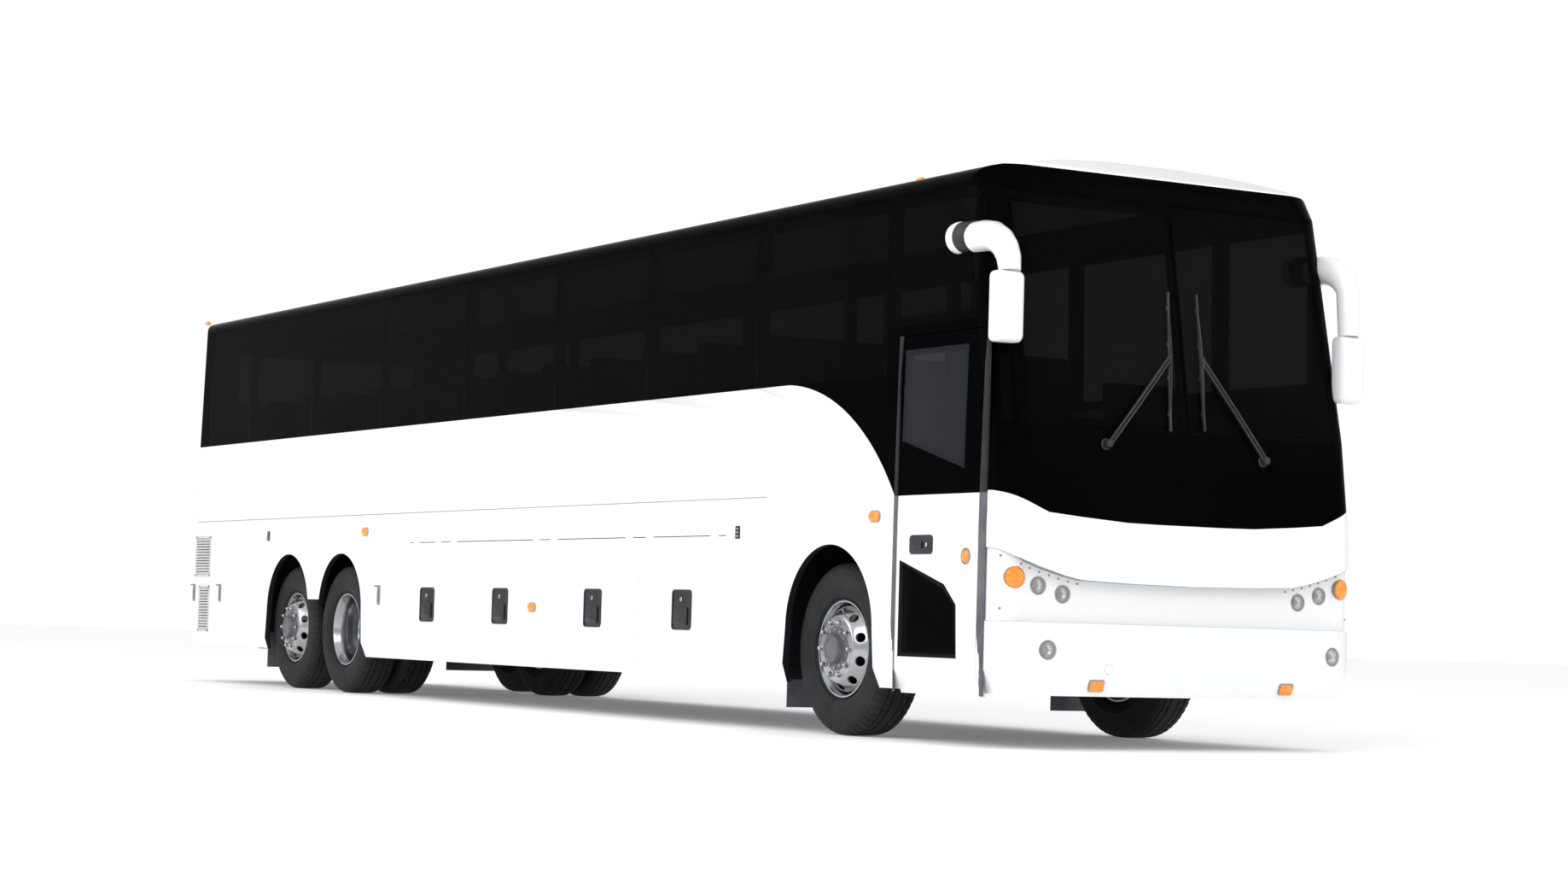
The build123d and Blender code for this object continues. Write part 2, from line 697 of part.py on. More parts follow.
def rim(hub_back, hub_front, through=False):
    """Rim with its disc on the +axial side, and the hub's barrel."""
    barrel = [(-127, 303), (-127, 294), (-112, 278), (-96, 278), (-60, 262), (60, 262), (96, 278),
              (112, 278), (127, 294), (127, 303), (115, 303), (115, 289), (96, 289),
              (60, 272), (-60, 272), (-96, 289), (-115, 289), (-115, 303)]
    disc = [(60, 266), (96, 268), (140, 236), (175, 200), (175, 90), (153, 90), (153, 196), (126, 226), (70, 256)]
    hub = [(hub_back, BORE_R + RUN), (hub_back, 105), (153, 105), (153, 140), (176, 140), (176, 88),
           (hub_front, 80), (hub_front, 0), (hub_front - 20, 0), (hub_front - 20, BORE_R + RUN)]
    if through:
        hub = [(hub_back, BORE_R + RUN), (hub_back, 105), (153, 105), (153, 140), (175, 140),
               (175, BORE_R + RUN)]
    return barrel, disc, hub


def wheel_solid(hub_back, hub_front, through=False):
    barrel, disc, hub = rim(hub_back, hub_front, through)
    solid = fused([ring(disc), ring(barrel), ring(hub)])
    for k in range(10):
        a = math.radians(36 * k)
        hole = Pos(232 * math.sin(a), 130, 232 * math.cos(a)) * Rot(90, 0, 0) * Cylinder(27, 160)
        solid = cut(solid, hole)
    return solid


def flipped(shape):
    return [mirror(solid, Plane.XZ) for solid in solids_of(shape)]


def placed(shape, x, y, side):
    """Turn a +axial-out shape to one side of the bus; right-hand ones are mirrored."""
    turned = flipped(shape) if side < 0 else solids_of(shape)
    return [Pos(x, side * y, AXLE_Z) * solid for solid in turned]


def build_wheels():
    tyre_solid = tyre()
    steer_rim = wheel_solid(60, 225)
    for name, side in SIDES:
        for place, x in (("front", FRONT_X), ("tag", TAG_X)):
            save(placed(tyre_solid, x, STEER_TRACK, side), f"tyre_{place}_{name}")
            save(placed(steer_rim, x, STEER_TRACK, side), f"wheel_{place}_{name}")
        inner = placed(wheel_solid(-60, 174, True), DRIVE_X, INNER_TWIN, side)
        outer = placed(flipped(drive_outer()), DRIVE_X, OUTER_TWIN, side)
        save(fused([inner, outer]), f"wheel_drive_{name}")
        tyres = [placed(tyre_solid, DRIVE_X, INNER_TWIN, side), placed(tyre_solid, DRIVE_X, OUTER_TWIN, side)]
        save(tyres, f"tyre_drive_{name}")


def drive_outer():
    """Outer twin: the disc faces inboard, and the hub's nose shows in the dish."""
    barrel, disc, _ = rim(0, 0)
    nose = [(175, BORE_R + RUN), (175, 140), (40, 120), (30, 120), (30, 0), (60, 0), (60, BORE_R + RUN)]
    solid = fused([ring(disc), ring(barrel), ring(nose)])
    for k in range(10):
        a = math.radians(36 * k)
        hole = Pos(232 * math.sin(a), 130, 232 * math.cos(a)) * Rot(90, 0, 0) * Cylinder(27, 160)
        solid = cut(solid, hole)
    return solid


# ---- fittings -----------------------------------------------------------
def build_mirrors():
    solids = []
    for _, side in SIDES:
        head = Pos(6740, side * 1305, 2485) * Box(120, 190, 390)
        head = fillet(head.edges().filter_by(Axis.Z), 40)
        arm = fused([
            bar((6120, side * 1215, 3080), (6480, side * 1330, 3060), 34),
            bar((6480, side * 1330, 3060), (6740, side * 1320, 2900), 34),
            bar((6740, side * 1320, 2900), (6740, side * 1310, 2600), 34),
            Pos(6480, side * 1330, 3060) * Sphere(34),
            Pos(6740, side * 1320, 2900) * Sphere(34),
        ])
        solids += cut(fused([head, arm]), OUTER)
    save(solids, "mirrors")


def build_wipers():
    wipers = []
    for side in (-1, 1):
        blade = bar((6862 + 22, side * 60, 1330 + 120), (6700 + 30, side * 70, 2450), 12)
        arm = bar((6862 + 30, side * 420, 1345), (6786 + 36, side * 66, 1960), 11)
        boss = rod_x(6820, 6900, side * 420, 1345, 24)
        wipers += cut(fused([blade, arm, boss]), OUTER)
    save(wipers, "wipers")


def build_markers():
    pieces = []
    spots = [(-2610, 1346, 38), (5425, 1341, 38)]
    for _, side in SIDES:
        for x, z, r in spots:
            pieces.append(rod_y(x, side * 1295, side * 1312, z, r))
        pieces.append(rod_y(6430, side * 1295, side * 1312, 1096, 36) if side > 0 else
                      rod_y(-5700, side * 1295, side * 1312, 1346, 30))
    pieces += cut(Pos(5460, 0, 3520) * Box(60, 120, 50), OUTER)
    save(pieces, "marker_lamps")


def build_mudflaps():
    flaps = []
    for side in (-1, 1):
        flaps.append(side_box(side, FRONT_X - 668, FRONT_X - 660, 860, 1185, 150, 700))
        flaps.append(side_box(side, -5068, -5060, 560, 1185, 170, 760))
    save(flaps, "mudflaps")


def build_inside():
    dash = prism_xz([(6420, 1050), (6760, 1050), (6740, 1700), (6560, 1760), (6380, 1600)], -1100, 1150)
    dash = common(dash, INNER)
    column = bar((6500, 600, 1500), (6170, 600, 1790), 32)
    steering = Plane(origin=(6170, 600, 1790), z_dir=(-0.75, 0, 0.66)) * Torus(220, 16)
    spokes = Plane(origin=(6170, 600, 1790), z_dir=(-0.75, 0, 0.66)) * Box(430, 30, 12)
    save(fused([dash, column, steering, spokes]), "dashboard")
    seats = []
    seat_side = [(-230, 0), (230, 0), (250, 60), (-120, 110), (-300, 780), (-390, 770), (-260, 60)]
    for x in range(-5700, 4800, 820):
        for side in (-1, 1):
            outline = [(x + px, FLOOR_Z + 380 + pz) for px, pz in seat_side]
            bench = prism_xz(outline, side * 260, side * 1200)
            foot = side_box(side, x - 150, x + 150, 700, 760, FLOOR_Z, FLOOR_Z + 381)
            seats.append(fused([bench, foot]))
    outline = [(5850 + px, 1050 + 420 + pz) for px, pz in seat_side]
    seats.append(fused([prism_xz(outline, 340, 860), box(5700, 6000, 540, 660, 1050, 1471)]))
    save(seats, "seats")


build_sides()
build_roof()
build_front()
build_rear()
build_entrance_door()
build_bays()
build_floor()
build_chassis()
build_liners()
build_axles()
build_knuckles()
build_wheels()
build_mirrors()
build_wipers()
build_markers()
build_mudflaps()
build_inside()
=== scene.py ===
"""Looks of a three-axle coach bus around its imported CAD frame. Metres, +X forward, +Y left, +Z up."""
import json
import math

import bmesh
import bpy
from mathutils import Matrix, Vector
from mathutils.bvhtree import BVHTree


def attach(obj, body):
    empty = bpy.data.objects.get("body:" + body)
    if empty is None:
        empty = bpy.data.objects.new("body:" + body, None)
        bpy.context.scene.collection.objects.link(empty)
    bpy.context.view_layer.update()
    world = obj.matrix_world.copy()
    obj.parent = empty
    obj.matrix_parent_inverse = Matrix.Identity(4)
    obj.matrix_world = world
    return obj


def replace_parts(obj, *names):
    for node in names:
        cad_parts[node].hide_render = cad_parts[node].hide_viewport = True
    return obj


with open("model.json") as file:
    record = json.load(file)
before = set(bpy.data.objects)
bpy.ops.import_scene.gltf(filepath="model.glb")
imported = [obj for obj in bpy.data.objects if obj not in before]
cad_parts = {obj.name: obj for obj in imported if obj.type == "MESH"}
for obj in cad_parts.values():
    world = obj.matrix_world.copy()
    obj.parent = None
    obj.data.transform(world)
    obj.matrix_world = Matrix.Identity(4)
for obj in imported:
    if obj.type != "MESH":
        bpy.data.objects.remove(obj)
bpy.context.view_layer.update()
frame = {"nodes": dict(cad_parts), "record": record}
NODES = frame["nodes"]

RIGHT, LEFT = -1, 1
SIDES = {"right": RIGHT, "left": LEFT}

# ---- driving sizes, in metres ----
HALF_WIDTH = 1.295
BAND_Z = 2.195             # lower edge of the glass band
ROOF_BLACK_Z = 3.392       # black under the roof edge, white above
DOOR_SPLIT_Z = 1.460       # white below, black above on the entrance door
AXLE_Z = 0.535
STEER_WHEELS = {"front": 4.900, "tag": -4.410}
DRIVE_X = -3.170
STEER_TRACK, OUTER_TWIN, INNER_TWIN = 1.050, 1.078, 0.728

# ---- camera ----
CAMERA_PLACE = (21.359, -11.118, 0.663)
CAMERA_YAW, CAMERA_PITCH, CAMERA_ROLL = 150.066, 3.358, 1.633
SENSOR, LENS = 36.0, 71.09


# =========================================================================
# materials
# =========================================================================
def linear(code):
    """sRGB hex colour as linear RGBA."""
    channels = [int(code[i:i + 2], 16) / 255 for i in (1, 3, 5)]
    return (*[c / 12.92 if c <= 0.04045 else ((c + 0.055) / 1.055) ** 2.4 for c in channels], 1.0)


def add(tree, kind, settings=None, **inputs):
    """Add a node: attributes from settings, then socket values or links by socket name."""
    made = tree.nodes.new(kind)
    for name, value in (settings or {}).items():
        setattr(made, name, value)
    for name, value in inputs.items():
        numbered = name[0] == "i" and name[1:].isdigit()
        socket = made.inputs[int(name[1:]) if numbered else name.replace("_", " ")]
        if isinstance(value, bpy.types.NodeSocket):
            tree.links.new(value, socket)
        else:
            socket.default_value = value
    return made


def finish_of(name, **values):
    """New material, its tree, its shader and the place that its textures use."""
    made = bpy.data.materials.new(name)
    made.use_nodes = True
    tree = made.node_tree
    shader = tree.nodes["Principled BSDF"]
    for socket, value in values.items():
        shader.inputs[socket.replace("_", " ")].default_value = value
    place = add(tree, "ShaderNodeTexCoord").outputs["Object"]
    return made, tree, shader, place


def mottled(tree, shader, place, per_metre, low, high, detail=3.0):
    """Roughness that wanders between two values."""
    noise = add(tree, "ShaderNodeTexNoise", Vector=place, Scale=per_metre, Detail=detail)
    spread = add(tree, "ShaderNodeMapRange", Value=noise.outputs["Fac"], To_Min=low, To_Max=high)
    tree.links.new(spread.outputs["Result"], shader.inputs["Roughness"])
    return noise


def grained(tree, shader, place, per_metre, depth, strength=0.5):
    """Fine bump of one grain size; depth in metres."""
    noise = add(tree, "ShaderNodeTexNoise", Vector=place, Scale=per_metre, Detail=2.0)
    bump = add(tree, "ShaderNodeBump", Height=noise.outputs["Fac"], Distance=depth, Strength=strength)
    tree.links.new(bump.outputs["Normal"], shader.inputs["Normal"])


def tinted(tree, shader, place, per_metre, dark, light):
    """Base colour that drifts between two close colours."""
    noise = add(tree, "ShaderNodeTexNoise", Vector=place, Scale=per_metre, Detail=4.0)
    ramp = add(tree, "ShaderNodeValToRGB", Fac=noise.outputs["Fac"])
    ramp.color_ramp.elements[0].position = 0.3
    ramp.color_ramp.elements[0].color = linear(dark)
    ramp.color_ramp.elements[1].position = 0.7
    ramp.color_ramp.elements[1].color = linear(light)
    tree.links.new(ramp.outputs["Color"], shader.inputs["Base Color"])
    return ramp


def white_enamel():
    """Two-pack polyurethane enamel, sprayed: glossy under a clear coat, faint orange peel, darker in patches towards
    the bottom.
    """
    made, tree, shader, place = finish_of("white_enamel", IOR=1.5, Coat_Weight=0.5, Coat_Roughness=0.06)
    mottled(tree, shader, place, 3.0, 0.27, 0.30)
    grained(tree, shader, place, 120.0, 0.0002, 0.08)
    split = add(tree, "ShaderNodeSeparateXYZ", Vector=place)
    patches = add(tree, "ShaderNodeTexNoise", Vector=place, Scale=4.0, Detail=5.0)
    height = add(tree, "ShaderNodeMapRange", Value=split.outputs["Z"], From_Min=0.3, From_Max=0.75,
                 To_Min=0.05, To_Max=0.0)
    # Darker in noise patches from 0.75 m down to 0.3 m, mixed towards a warm grey.
    low_darkening = add(tree, "ShaderNodeMath", {"operation": "MULTIPLY"}, i0=height.outputs["Result"],
               i1=patches.outputs["Fac"])
    colour = add(tree, "ShaderNodeMix", {"data_type": "RGBA"}, i0=low_darkening.outputs[0], i6=linear("#F4F5F6"),
                 i7=linear("#C9C4BC"))
    tree.links.new(colour.outputs[2], shader.inputs["Base Color"])
    return made


def seat_cloth():
    """Woven moquette on the seats."""
    made, tree, shader, place = finish_of("moquette", Sheen_Weight=0.3)
    mottled(tree, shader, place, 60.0, 0.8, 0.95)
    weave = add(tree, "ShaderNodeTexWave", {"wave_type": "BANDS", "bands_direction": "Z"}, Vector=place,
                Scale=160.0, Distortion=1.5)
    bump = add(tree, "ShaderNodeBump", Height=weave.outputs["Fac"], Distance=0.001, Strength=0.5)
    tree.links.new(bump.outputs["Normal"], shader.inputs["Normal"])
    tinted(tree, shader, place, 25.0, "#15171D", "#262A35")
    return made


def coat(name, rough, tint, grain=None, **values):
    """Finish from (per metre, low, high) roughness, (per metre, dark, light) colour and (per metre, depth) grain."""
    made, tree, shader, place = finish_of(name, **values)
    mottled(tree, shader, place, *rough)
    if grain:
        grained(tree, shader, place, *grain)
    tinted(tree, shader, place, *tint)
    return made


FINISHES = {
    "white_paint": white_enamel(),
    # Black enamel baked over steel and fibreglass: deep, mirror-smooth, slight haze.
    "black_gloss": coat("black_enamel", (2.0, 0.10, 0.17), (1.2, "#030304", "#060607"), (90.0, 0.0003, 0.15),
                        IOR=1.45, Specular_IOR_Level=0.006),
    # Tinted toughened glass: nearly black, a little of the saloon shows through.
    "dark_glass": coat("privacy_glass", (1.5, 0.03, 0.06), (0.8, "#060607", "#09090B"),
                       IOR=1.45, Specular_IOR_Level=0.012, Alpha=0.76),
    # Laminated windshield glass with a grey tint.
    "clear_glass": coat("laminated_glass", (1.5, 0.02, 0.05), (0.8, "#060607", "#0A0A0C"),
                        IOR=1.45, Specular_IOR_Level=0.010, Alpha=0.70),
    # Clear polycarbonate lamp cover.
    "lamp_lens": coat("clear_polycarbonate", (20.0, 0.02, 0.06), (5.0, "#DCE0E2", "#E8EAEB"),
                      IOR=1.45, Alpha=0.3, Coat_Weight=0.4),
    # Moulded red acrylic.
    "red_lens": coat("red_acrylic", (40.0, 0.10, 0.2), (30.0, "#7A0B0B", "#9C1512"), (350.0, 0.0006, 0.6),
                     IOR=1.49, Coat_Weight=0.6),
    # Moulded amber acrylic over a reflector: warm, wet-looking, slightly see-through.
    "amber_lens": coat("amber_acrylic", (40.0, 0.10, 0.2), (30.0, "#E07F18", "#F79A2C"), (350.0, 0.0006, 0.6),
                       IOR=1.49, Emission_Strength=0.12, Coat_Weight=0.6, Emission_Color=linear("#F08A1C")),
    # Chassis paint on hot-rolled steel: satin, stone-chipped, dusty.
    "black_steel": coat("chassis_paint", (8.0, 0.5, 0.75), (3.0, "#060606", "#121110"), (150.0, 0.0008),
                        Specular_IOR_Level=0.3),
    # Chassis paint on hot-rolled steel: satin, stone-chipped, dusty.
    "engine_metal": coat("chassis_paint", (8.0, 0.5, 0.75), (3.0, "#060606", "#121110"), (150.0, 0.0008),
                         Specular_IOR_Level=0.3),
    # Safety vinyl on plywood decking, flecked.
    "floor_board": coat("safety_vinyl", (12.0, 0.6, 0.8), (200.0, "#26272A", "#3A3B3E")),
    # Injection-moulded ABS, black, with a fine spark-eroded grain; the same black is also painted shade behind the
    # grille slats and on the engine door's recesses, and a painted dark reflection as the lamp bulbs.
    "black_plastic": coat("moulded_abs", (15.0, 0.38, 0.5), (6.0, "#0E0F12", "#181A1F"), (500.0, 0.0004)),
    # Extruded EPDM seal, weathered grey, dull; on the door seals the grey is partly painted shade of the door's rounded
    # edges.
    "black_rubber": coat("epdm_seal", (20.0, 0.5, 0.7), (6.0, "#4A4A50", "#66666D"), (400.0, 0.0003)),
    # Grained vinyl over foam, charcoal.
    "dash_plastic": coat("grained_vinyl", (20.0, 0.55, 0.7), (8.0, "#16171A", "#202226"), (350.0, 0.0006)),
    "seat_fabric": seat_cloth(),
    # Vulcanised tread rubber: matt charcoal, greyed by dust, fine mould texture.
    "tyre": coat("tyre_rubber", (12.0, 0.62, 0.82), (7.0, "#121214", "#222225"), (260.0, 0.0006),
                 Specular_IOR_Level=0.35),
    # Forged aluminium, machine polished: bright, even, a little grey from brake dust.
    "polished_aluminium": coat("polished_aluminium", (8.0, 0.20, 0.25, 2.0), (3.0, "#A6A7AA", "#B4B5B8"),
                               Metallic=1.0),
}
# Toughened door glass with a light grey tint: the cab's daylight shows through.
DOOR_PANE = coat("grey_toughened_glass", (1.5, 0.02, 0.05), (0.8, "#2E2F33", "#3A3B40"),
                 IOR=1.45, Specular_IOR_Level=0.02, Alpha=0.52)
SEAL = FINISHES["black_rubber"]
# Zinc die-cast hardware with a satin lacquer; the same grey is also painted shade along the mask's lower edge and over
# the waist groove.
GREY = coat("die_cast_zinc", (30.0, 0.35, 0.5), (12.0, "#8C8D90", "#A4A5A8"), (300.0, 0.0003), Metallic=0.8)
# Chromed steel fasteners.
STEEL = coat("chromed_steel", (90.0, 0.10, 0.24), (40.0, "#A9ABAE", "#C6C8CB"), (400.0, 0.0002, 0.3), Metallic=1.0)
# Blue-black moulded nylon of the latches.
NAVY = coat("moulded_nylon", (18.0, 0.36, 0.5), (9.0, "#080A10", "#0F121A"), (450.0, 0.0004))
# Electrophoretic black on the wiper arms, satin.
WIPER_BLACK = coat("electrocoat_black", (30.0, 0.35, 0.5), (10.0, "#1E1E21", "#2C2C30"), (300.0, 0.0002),
                   Specular_IOR_Level=0.4)
# Silver-grey lacquer on the slats of the air grilles.
GREY_WHITE = coat("silver_lacquer", (30.0, 0.28, 0.4), (14.0, "#C4C5C7", "#DADBDC"), (260.0, 0.0002), Coat_Weight=0.4)
# Vacuum-metallised reflector bowl.
REFLECTOR = coat("metallised_reflector", (60.0, 0.08, 0.16), (40.0, "#C8C9CA", "#E2E2E2"), (220.0, 0.0008, 0.6),
                 Metallic=1.0)
# Silvered mirror glass.
SILVER = coat("silvered_glass", (10.0, 0.01, 0.03), (4.0, "#C3C8CB", "#CDD1D3"), Metallic=1.0)
# Cast iron hub under grey enamel: satin, darker than the polished rim.
HUB_GREY = coat("grey_hub_enamel", (12.0, 0.32, 0.42), (5.0, "#606165", "#6E6F73"), (220.0, 0.0002, 0.3),
                Metallic=0.35)
PLASTIC = FINISHES["black_plastic"]
WHITE = FINISHES["white_paint"]
BLACK = FINISHES["black_gloss"]
AMBER = FINISHES["amber_lens"]
LENS_CLEAR = FINISHES["lamp_lens"]
ALLOY = FINISHES["polished_aluminium"]
RUBBER = FINISHES["tyre"]
CHASSIS = FINISHES["black_steel"]

SLOT_OF = {part["node"]: part["material_slot"] for part in frame["record"]["subparts"]}
for node_name, thing in NODES.items():
    thing.data.materials.clear()
    thing.data.materials.append(FINISHES[SLOT_OF[node_name]])


# =========================================================================
# mesh helpers
# =========================================================================
BODY_OF = {node: body for body, nodes in frame["record"]["behaviour"]["bodies"].items() for node in nodes}


def piece(name, mesh, body, slot, *materials):
    """Wrap a mesh as a piece that rides on a body."""
    made = bpy.data.objects.new(name, mesh)
    bpy.context.collection.objects.link(made)
    for material in materials:
        mesh.materials.append(material)
    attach(made, body)
    return made


def mesh_from(name, build):
    """Mesh filled by build(bm), normals outwards."""
    bm = bmesh.new()
    build(bm)
    bmesh.ops.remove_doubles(bm, verts=bm.verts, dist=1e-5)
    bmesh.ops.recalc_face_normals(bm, faces=bm.faces)
    mesh = bpy.data.meshes.new(name)
    bm.to_mesh(mesh)
    bm.free()
    return mesh


def smooth(mesh, degrees=35):
    mesh.shade_smooth()
    mesh.set_sharp_from_angle(angle=math.radians(degrees))
    return mesh


def built(name, build, body, slot, *materials, degrees=35):
    """Piece filled by build(bm), shaded smooth."""
    return piece(name, smooth(mesh_from(name, build), degrees), body, slot, *materials)


def weighted(mesh):
    """The same mesh with normals that follow its large faces, so that long thin triangles don't shade."""
    host = bpy.data.objects.new(mesh.name, mesh)
    bpy.context.collection.objects.link(host)
    turned = host.modifiers.new("normals", "WEIGHTED_NORMAL")
    turned.keep_sharp = True
    made = bpy.data.meshes.new_from_object(host.evaluated_get(bpy.context.evaluated_depsgraph_get()))
    bpy.data.objects.remove(host)
    return made


# lower edges of the black windshield surround and of the white mask: distance from the middle, height
BLACK_EDGE = [(0.0, 1.309), (0.46, 1.315), (0.78, 1.337), (1.00, 1.356), (1.22, 1.448), (1.30, 1.475)]
LAMP_EDGE = [(0.0, 0.9575), (0.46, 0.964), (0.76, 0.974), (0.87, 0.993), (1.05, 1.041), (1.21, 1.098), (1.30, 1.148)]


def edge_at(curve, y):
    """Height at y of a curve of (distance from the middle, height) points."""
    y = min(abs(y), curve[-1][0])
    for (y0, z0), (y1, z1) in zip(curve, curve[1:]):
        if y <= y1:
            return z0 + (z1 - z0) * (y - y0) / (y1 - y0)


def below(curve):
    """Test for faces under a curve."""
    return lambda face: face.calc_center_median().z < edge_at(curve, face.calc_center_median().y)


def refined(node, *materials, split_z=None, second=None, degrees=24, curve=None, drop=False):
    """Welded, smooth-shaded copy of a CAD node that stands for it.

    Faces above split_z take the second material, and second(face), where given, picks each face's material.
    The faces are cut along curve, and drop deletes what lies under it.
    """
    bm = bmesh.new()
    bm.from_mesh(NODES[node].data)
    bmesh.ops.remove_doubles(bm, verts=bm.verts, dist=2e-5)
    for (y0, z0), (y1, z1) in zip(curve or [], (curve or [])[1:]):
        for side in (1, -1):
            bmesh.ops.bisect_plane(bm, geom=bm.verts[:] + bm.edges[:] + bm.faces[:], plane_co=(0, side * y0, z0),
                                   plane_no=(0, -side * (z1 - z0), y1 - y0))
    if drop:
        bmesh.ops.delete(bm, geom=[face for face in bm.faces if below(curve)(face)], context="FACES")
    if split_z is not None:
        bmesh.ops.bisect_plane(bm, geom=bm.verts[:] + bm.edges[:] + bm.faces[:], plane_co=(0, 0, split_z),
                               plane_no=(0, 0, 1))
        for face in bm.faces:
            face.material_index = 1 if face.calc_center_median().z > split_z else 0
    if second:
        for face in bm.faces:
            face.material_index = int(second(face))
    mesh = bpy.data.meshes.new(node + "_finish")
    bm.to_mesh(mesh)
    bm.free()
    made = piece(node + "_finish", weighted(smooth(mesh, degrees)), BODY_OF[node], SLOT_OF[node],
                 *(materials or (FINISHES[SLOT_OF[node]],)))
    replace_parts(made, node)
    return made


def axes_of(normal):
    """Two unit vectors across a normal, the second as upright as can be."""
    n = Vector(normal).normalized()
    across = Vector((0, 0, 1)).cross(n)
    across = across.normalized() if across.length > 1e-4 else Vector((1, 0, 0))
    return across, n.cross(across), n


def revolve(bm, profile, origin, axis, segments=64, material=0):
    """Turn (axial, radius) points about an axis through origin; axial runs along the axis."""
    a, b, n = axes_of(axis)
    origin = Vector(origin)
    rings = []
    for k in range(segments):
        turn = 2 * math.pi * k / segments
        out = math.sin(turn) * a + math.cos(turn) * b
        rings.append([bm.verts.new(origin + n * axial + out * radius) for axial, radius in profile])
    for k in range(segments):
        near, far = rings[k], rings[(k + 1) % segments]
        for j in range(len(profile) - 1):
            r0, r1 = profile[j][1], profile[j + 1][1]
            if r0 < 1e-6 and r1 < 1e-6:
                continue
            corners = [near[j], near[j + 1], far[j + 1], far[j]]
            if r0 < 1e-6:
                corners = [near[j], near[j + 1], far[j + 1]]
            elif r1 < 1e-6:
                corners = [near[j], near[j + 1], far[j]]
            bm.faces.new(corners).material_index = material


def skin_of(*nodes):
    """Ray tester on some CAD nodes."""
    verts, faces = [], []
    for node in nodes:
        mesh = NODES[node].data
        start = len(verts)
        verts += [v.co.copy() for v in mesh.vertices]
        faces += [[start + i for i in poly.vertices] for poly in mesh.polygons]
    return BVHTree.FromPolygons(verts, faces)


def on_side(skin, side, x, z):
    """Point of the outer skin at x, z on one side."""
    hit = skin.ray_cast(Vector((x, side * 2.2, z)), Vector((0, -side, 0)), 1.5)[0]
    return hit if hit else Vector((x, side * HALF_WIDTH, z))


def on_front(skin, y, z):
    """Point and outward normal of the front at y, z."""
    hit, normal = skin.ray_cast(Vector((8.5, y, z)), Vector((-1, 0, 0)), 3.0)[:2]
    if not hit:
        return Vector((6.86, y, z)), Vector((1, 0, 0))
    return hit, (normal if normal.x > 0 else -normal)


def bridge(bm, low, high):
    """Faces between two closed loops of as many points."""
    count = len(low)
    return [bm.faces.new((low[k], low[(k + 1) % count], high[(k + 1) % count], high[k])) for k in range(count)]


def slab(bm, outline, push, material=0):
    """Prism from a loop of points, moved by push."""
    low = [bm.verts.new(p) for p in outline]
    high = [bm.verts.new(Vector(p) + Vector(push)) for p in outline]
    faces = [bm.faces.new(low), bm.faces.new(high)] + bridge(bm, low, high)
    for face in faces:
        face.material_index = material


def rounded(x0, x1, z0, z1, r, steps=6):
    """Rounded rectangle as a list of (x, z)."""
    loop = []
    corners = ((x1 - r, z1 - r, 0), (x0 + r, z1 - r, 90), (x0 + r, z0 + r, 180), (x1 - r, z0 + r, 270))
    for cx, cz, start in corners:
        for k in range(steps + 1):
            a = math.radians(start + 90 * k / steps)
            loop.append((cx + r * math.cos(a), cz + r * math.sin(a)))
    return loop


def plate(bm, centre, normal, width, height, r, rise, edge=0.003, material=0, sink=0.01):
    """Rounded plate with an eased edge, standing off a surface."""
    a, b, n = axes_of(normal)
    centre = Vector(centre)
    rings = []
    for depth, less in ((-sink, 0.0), (rise - edge, 0.0), (rise - edge * 0.3, edge * 0.3), (rise, edge)):
        loop = rounded(-width / 2 + less, width / 2 - less, -height / 2 + less, height / 2 - less, max(r - less, 1e-3))
        rings.append([bm.verts.new(centre + a * u + b * v + n * depth) for u, v in loop])
    faces = [bm.faces.new(rings[0]), bm.faces.new(rings[-1])]
    for low, high in zip(rings, rings[1:]):
        faces += bridge(bm, low, high)
    for face in faces:
        face.material_index = material


def tube(bm, points, r, sides=12, material=0):
    """Round bar through points, ends closed."""
    points = [Vector(p) for p in points]
    rings = []
    last = None
    for k, p in enumerate(points):
        ahead = (points[min(k + 1, len(points) - 1)] - points[max(k - 1, 0)]).normalized()
        a = (last - ahead * last.dot(ahead)).normalized() if last else axes_of(ahead)[0]
        last, b = a, ahead.cross(a)
        radius = r[k] if isinstance(r, (list, tuple)) else r
        rings.append([bm.verts.new(p + radius * (math.cos(2 * math.pi * j / sides) * a
                                                 + math.sin(2 * math.pi * j / sides) * b)) for j in range(sides)])
    faces = [bm.faces.new(rings[0]), bm.faces.new(rings[-1])]
    for low, high in zip(rings, rings[1:]):
        faces += bridge(bm, low, high)
    for face in faces:
        face.material_index = material


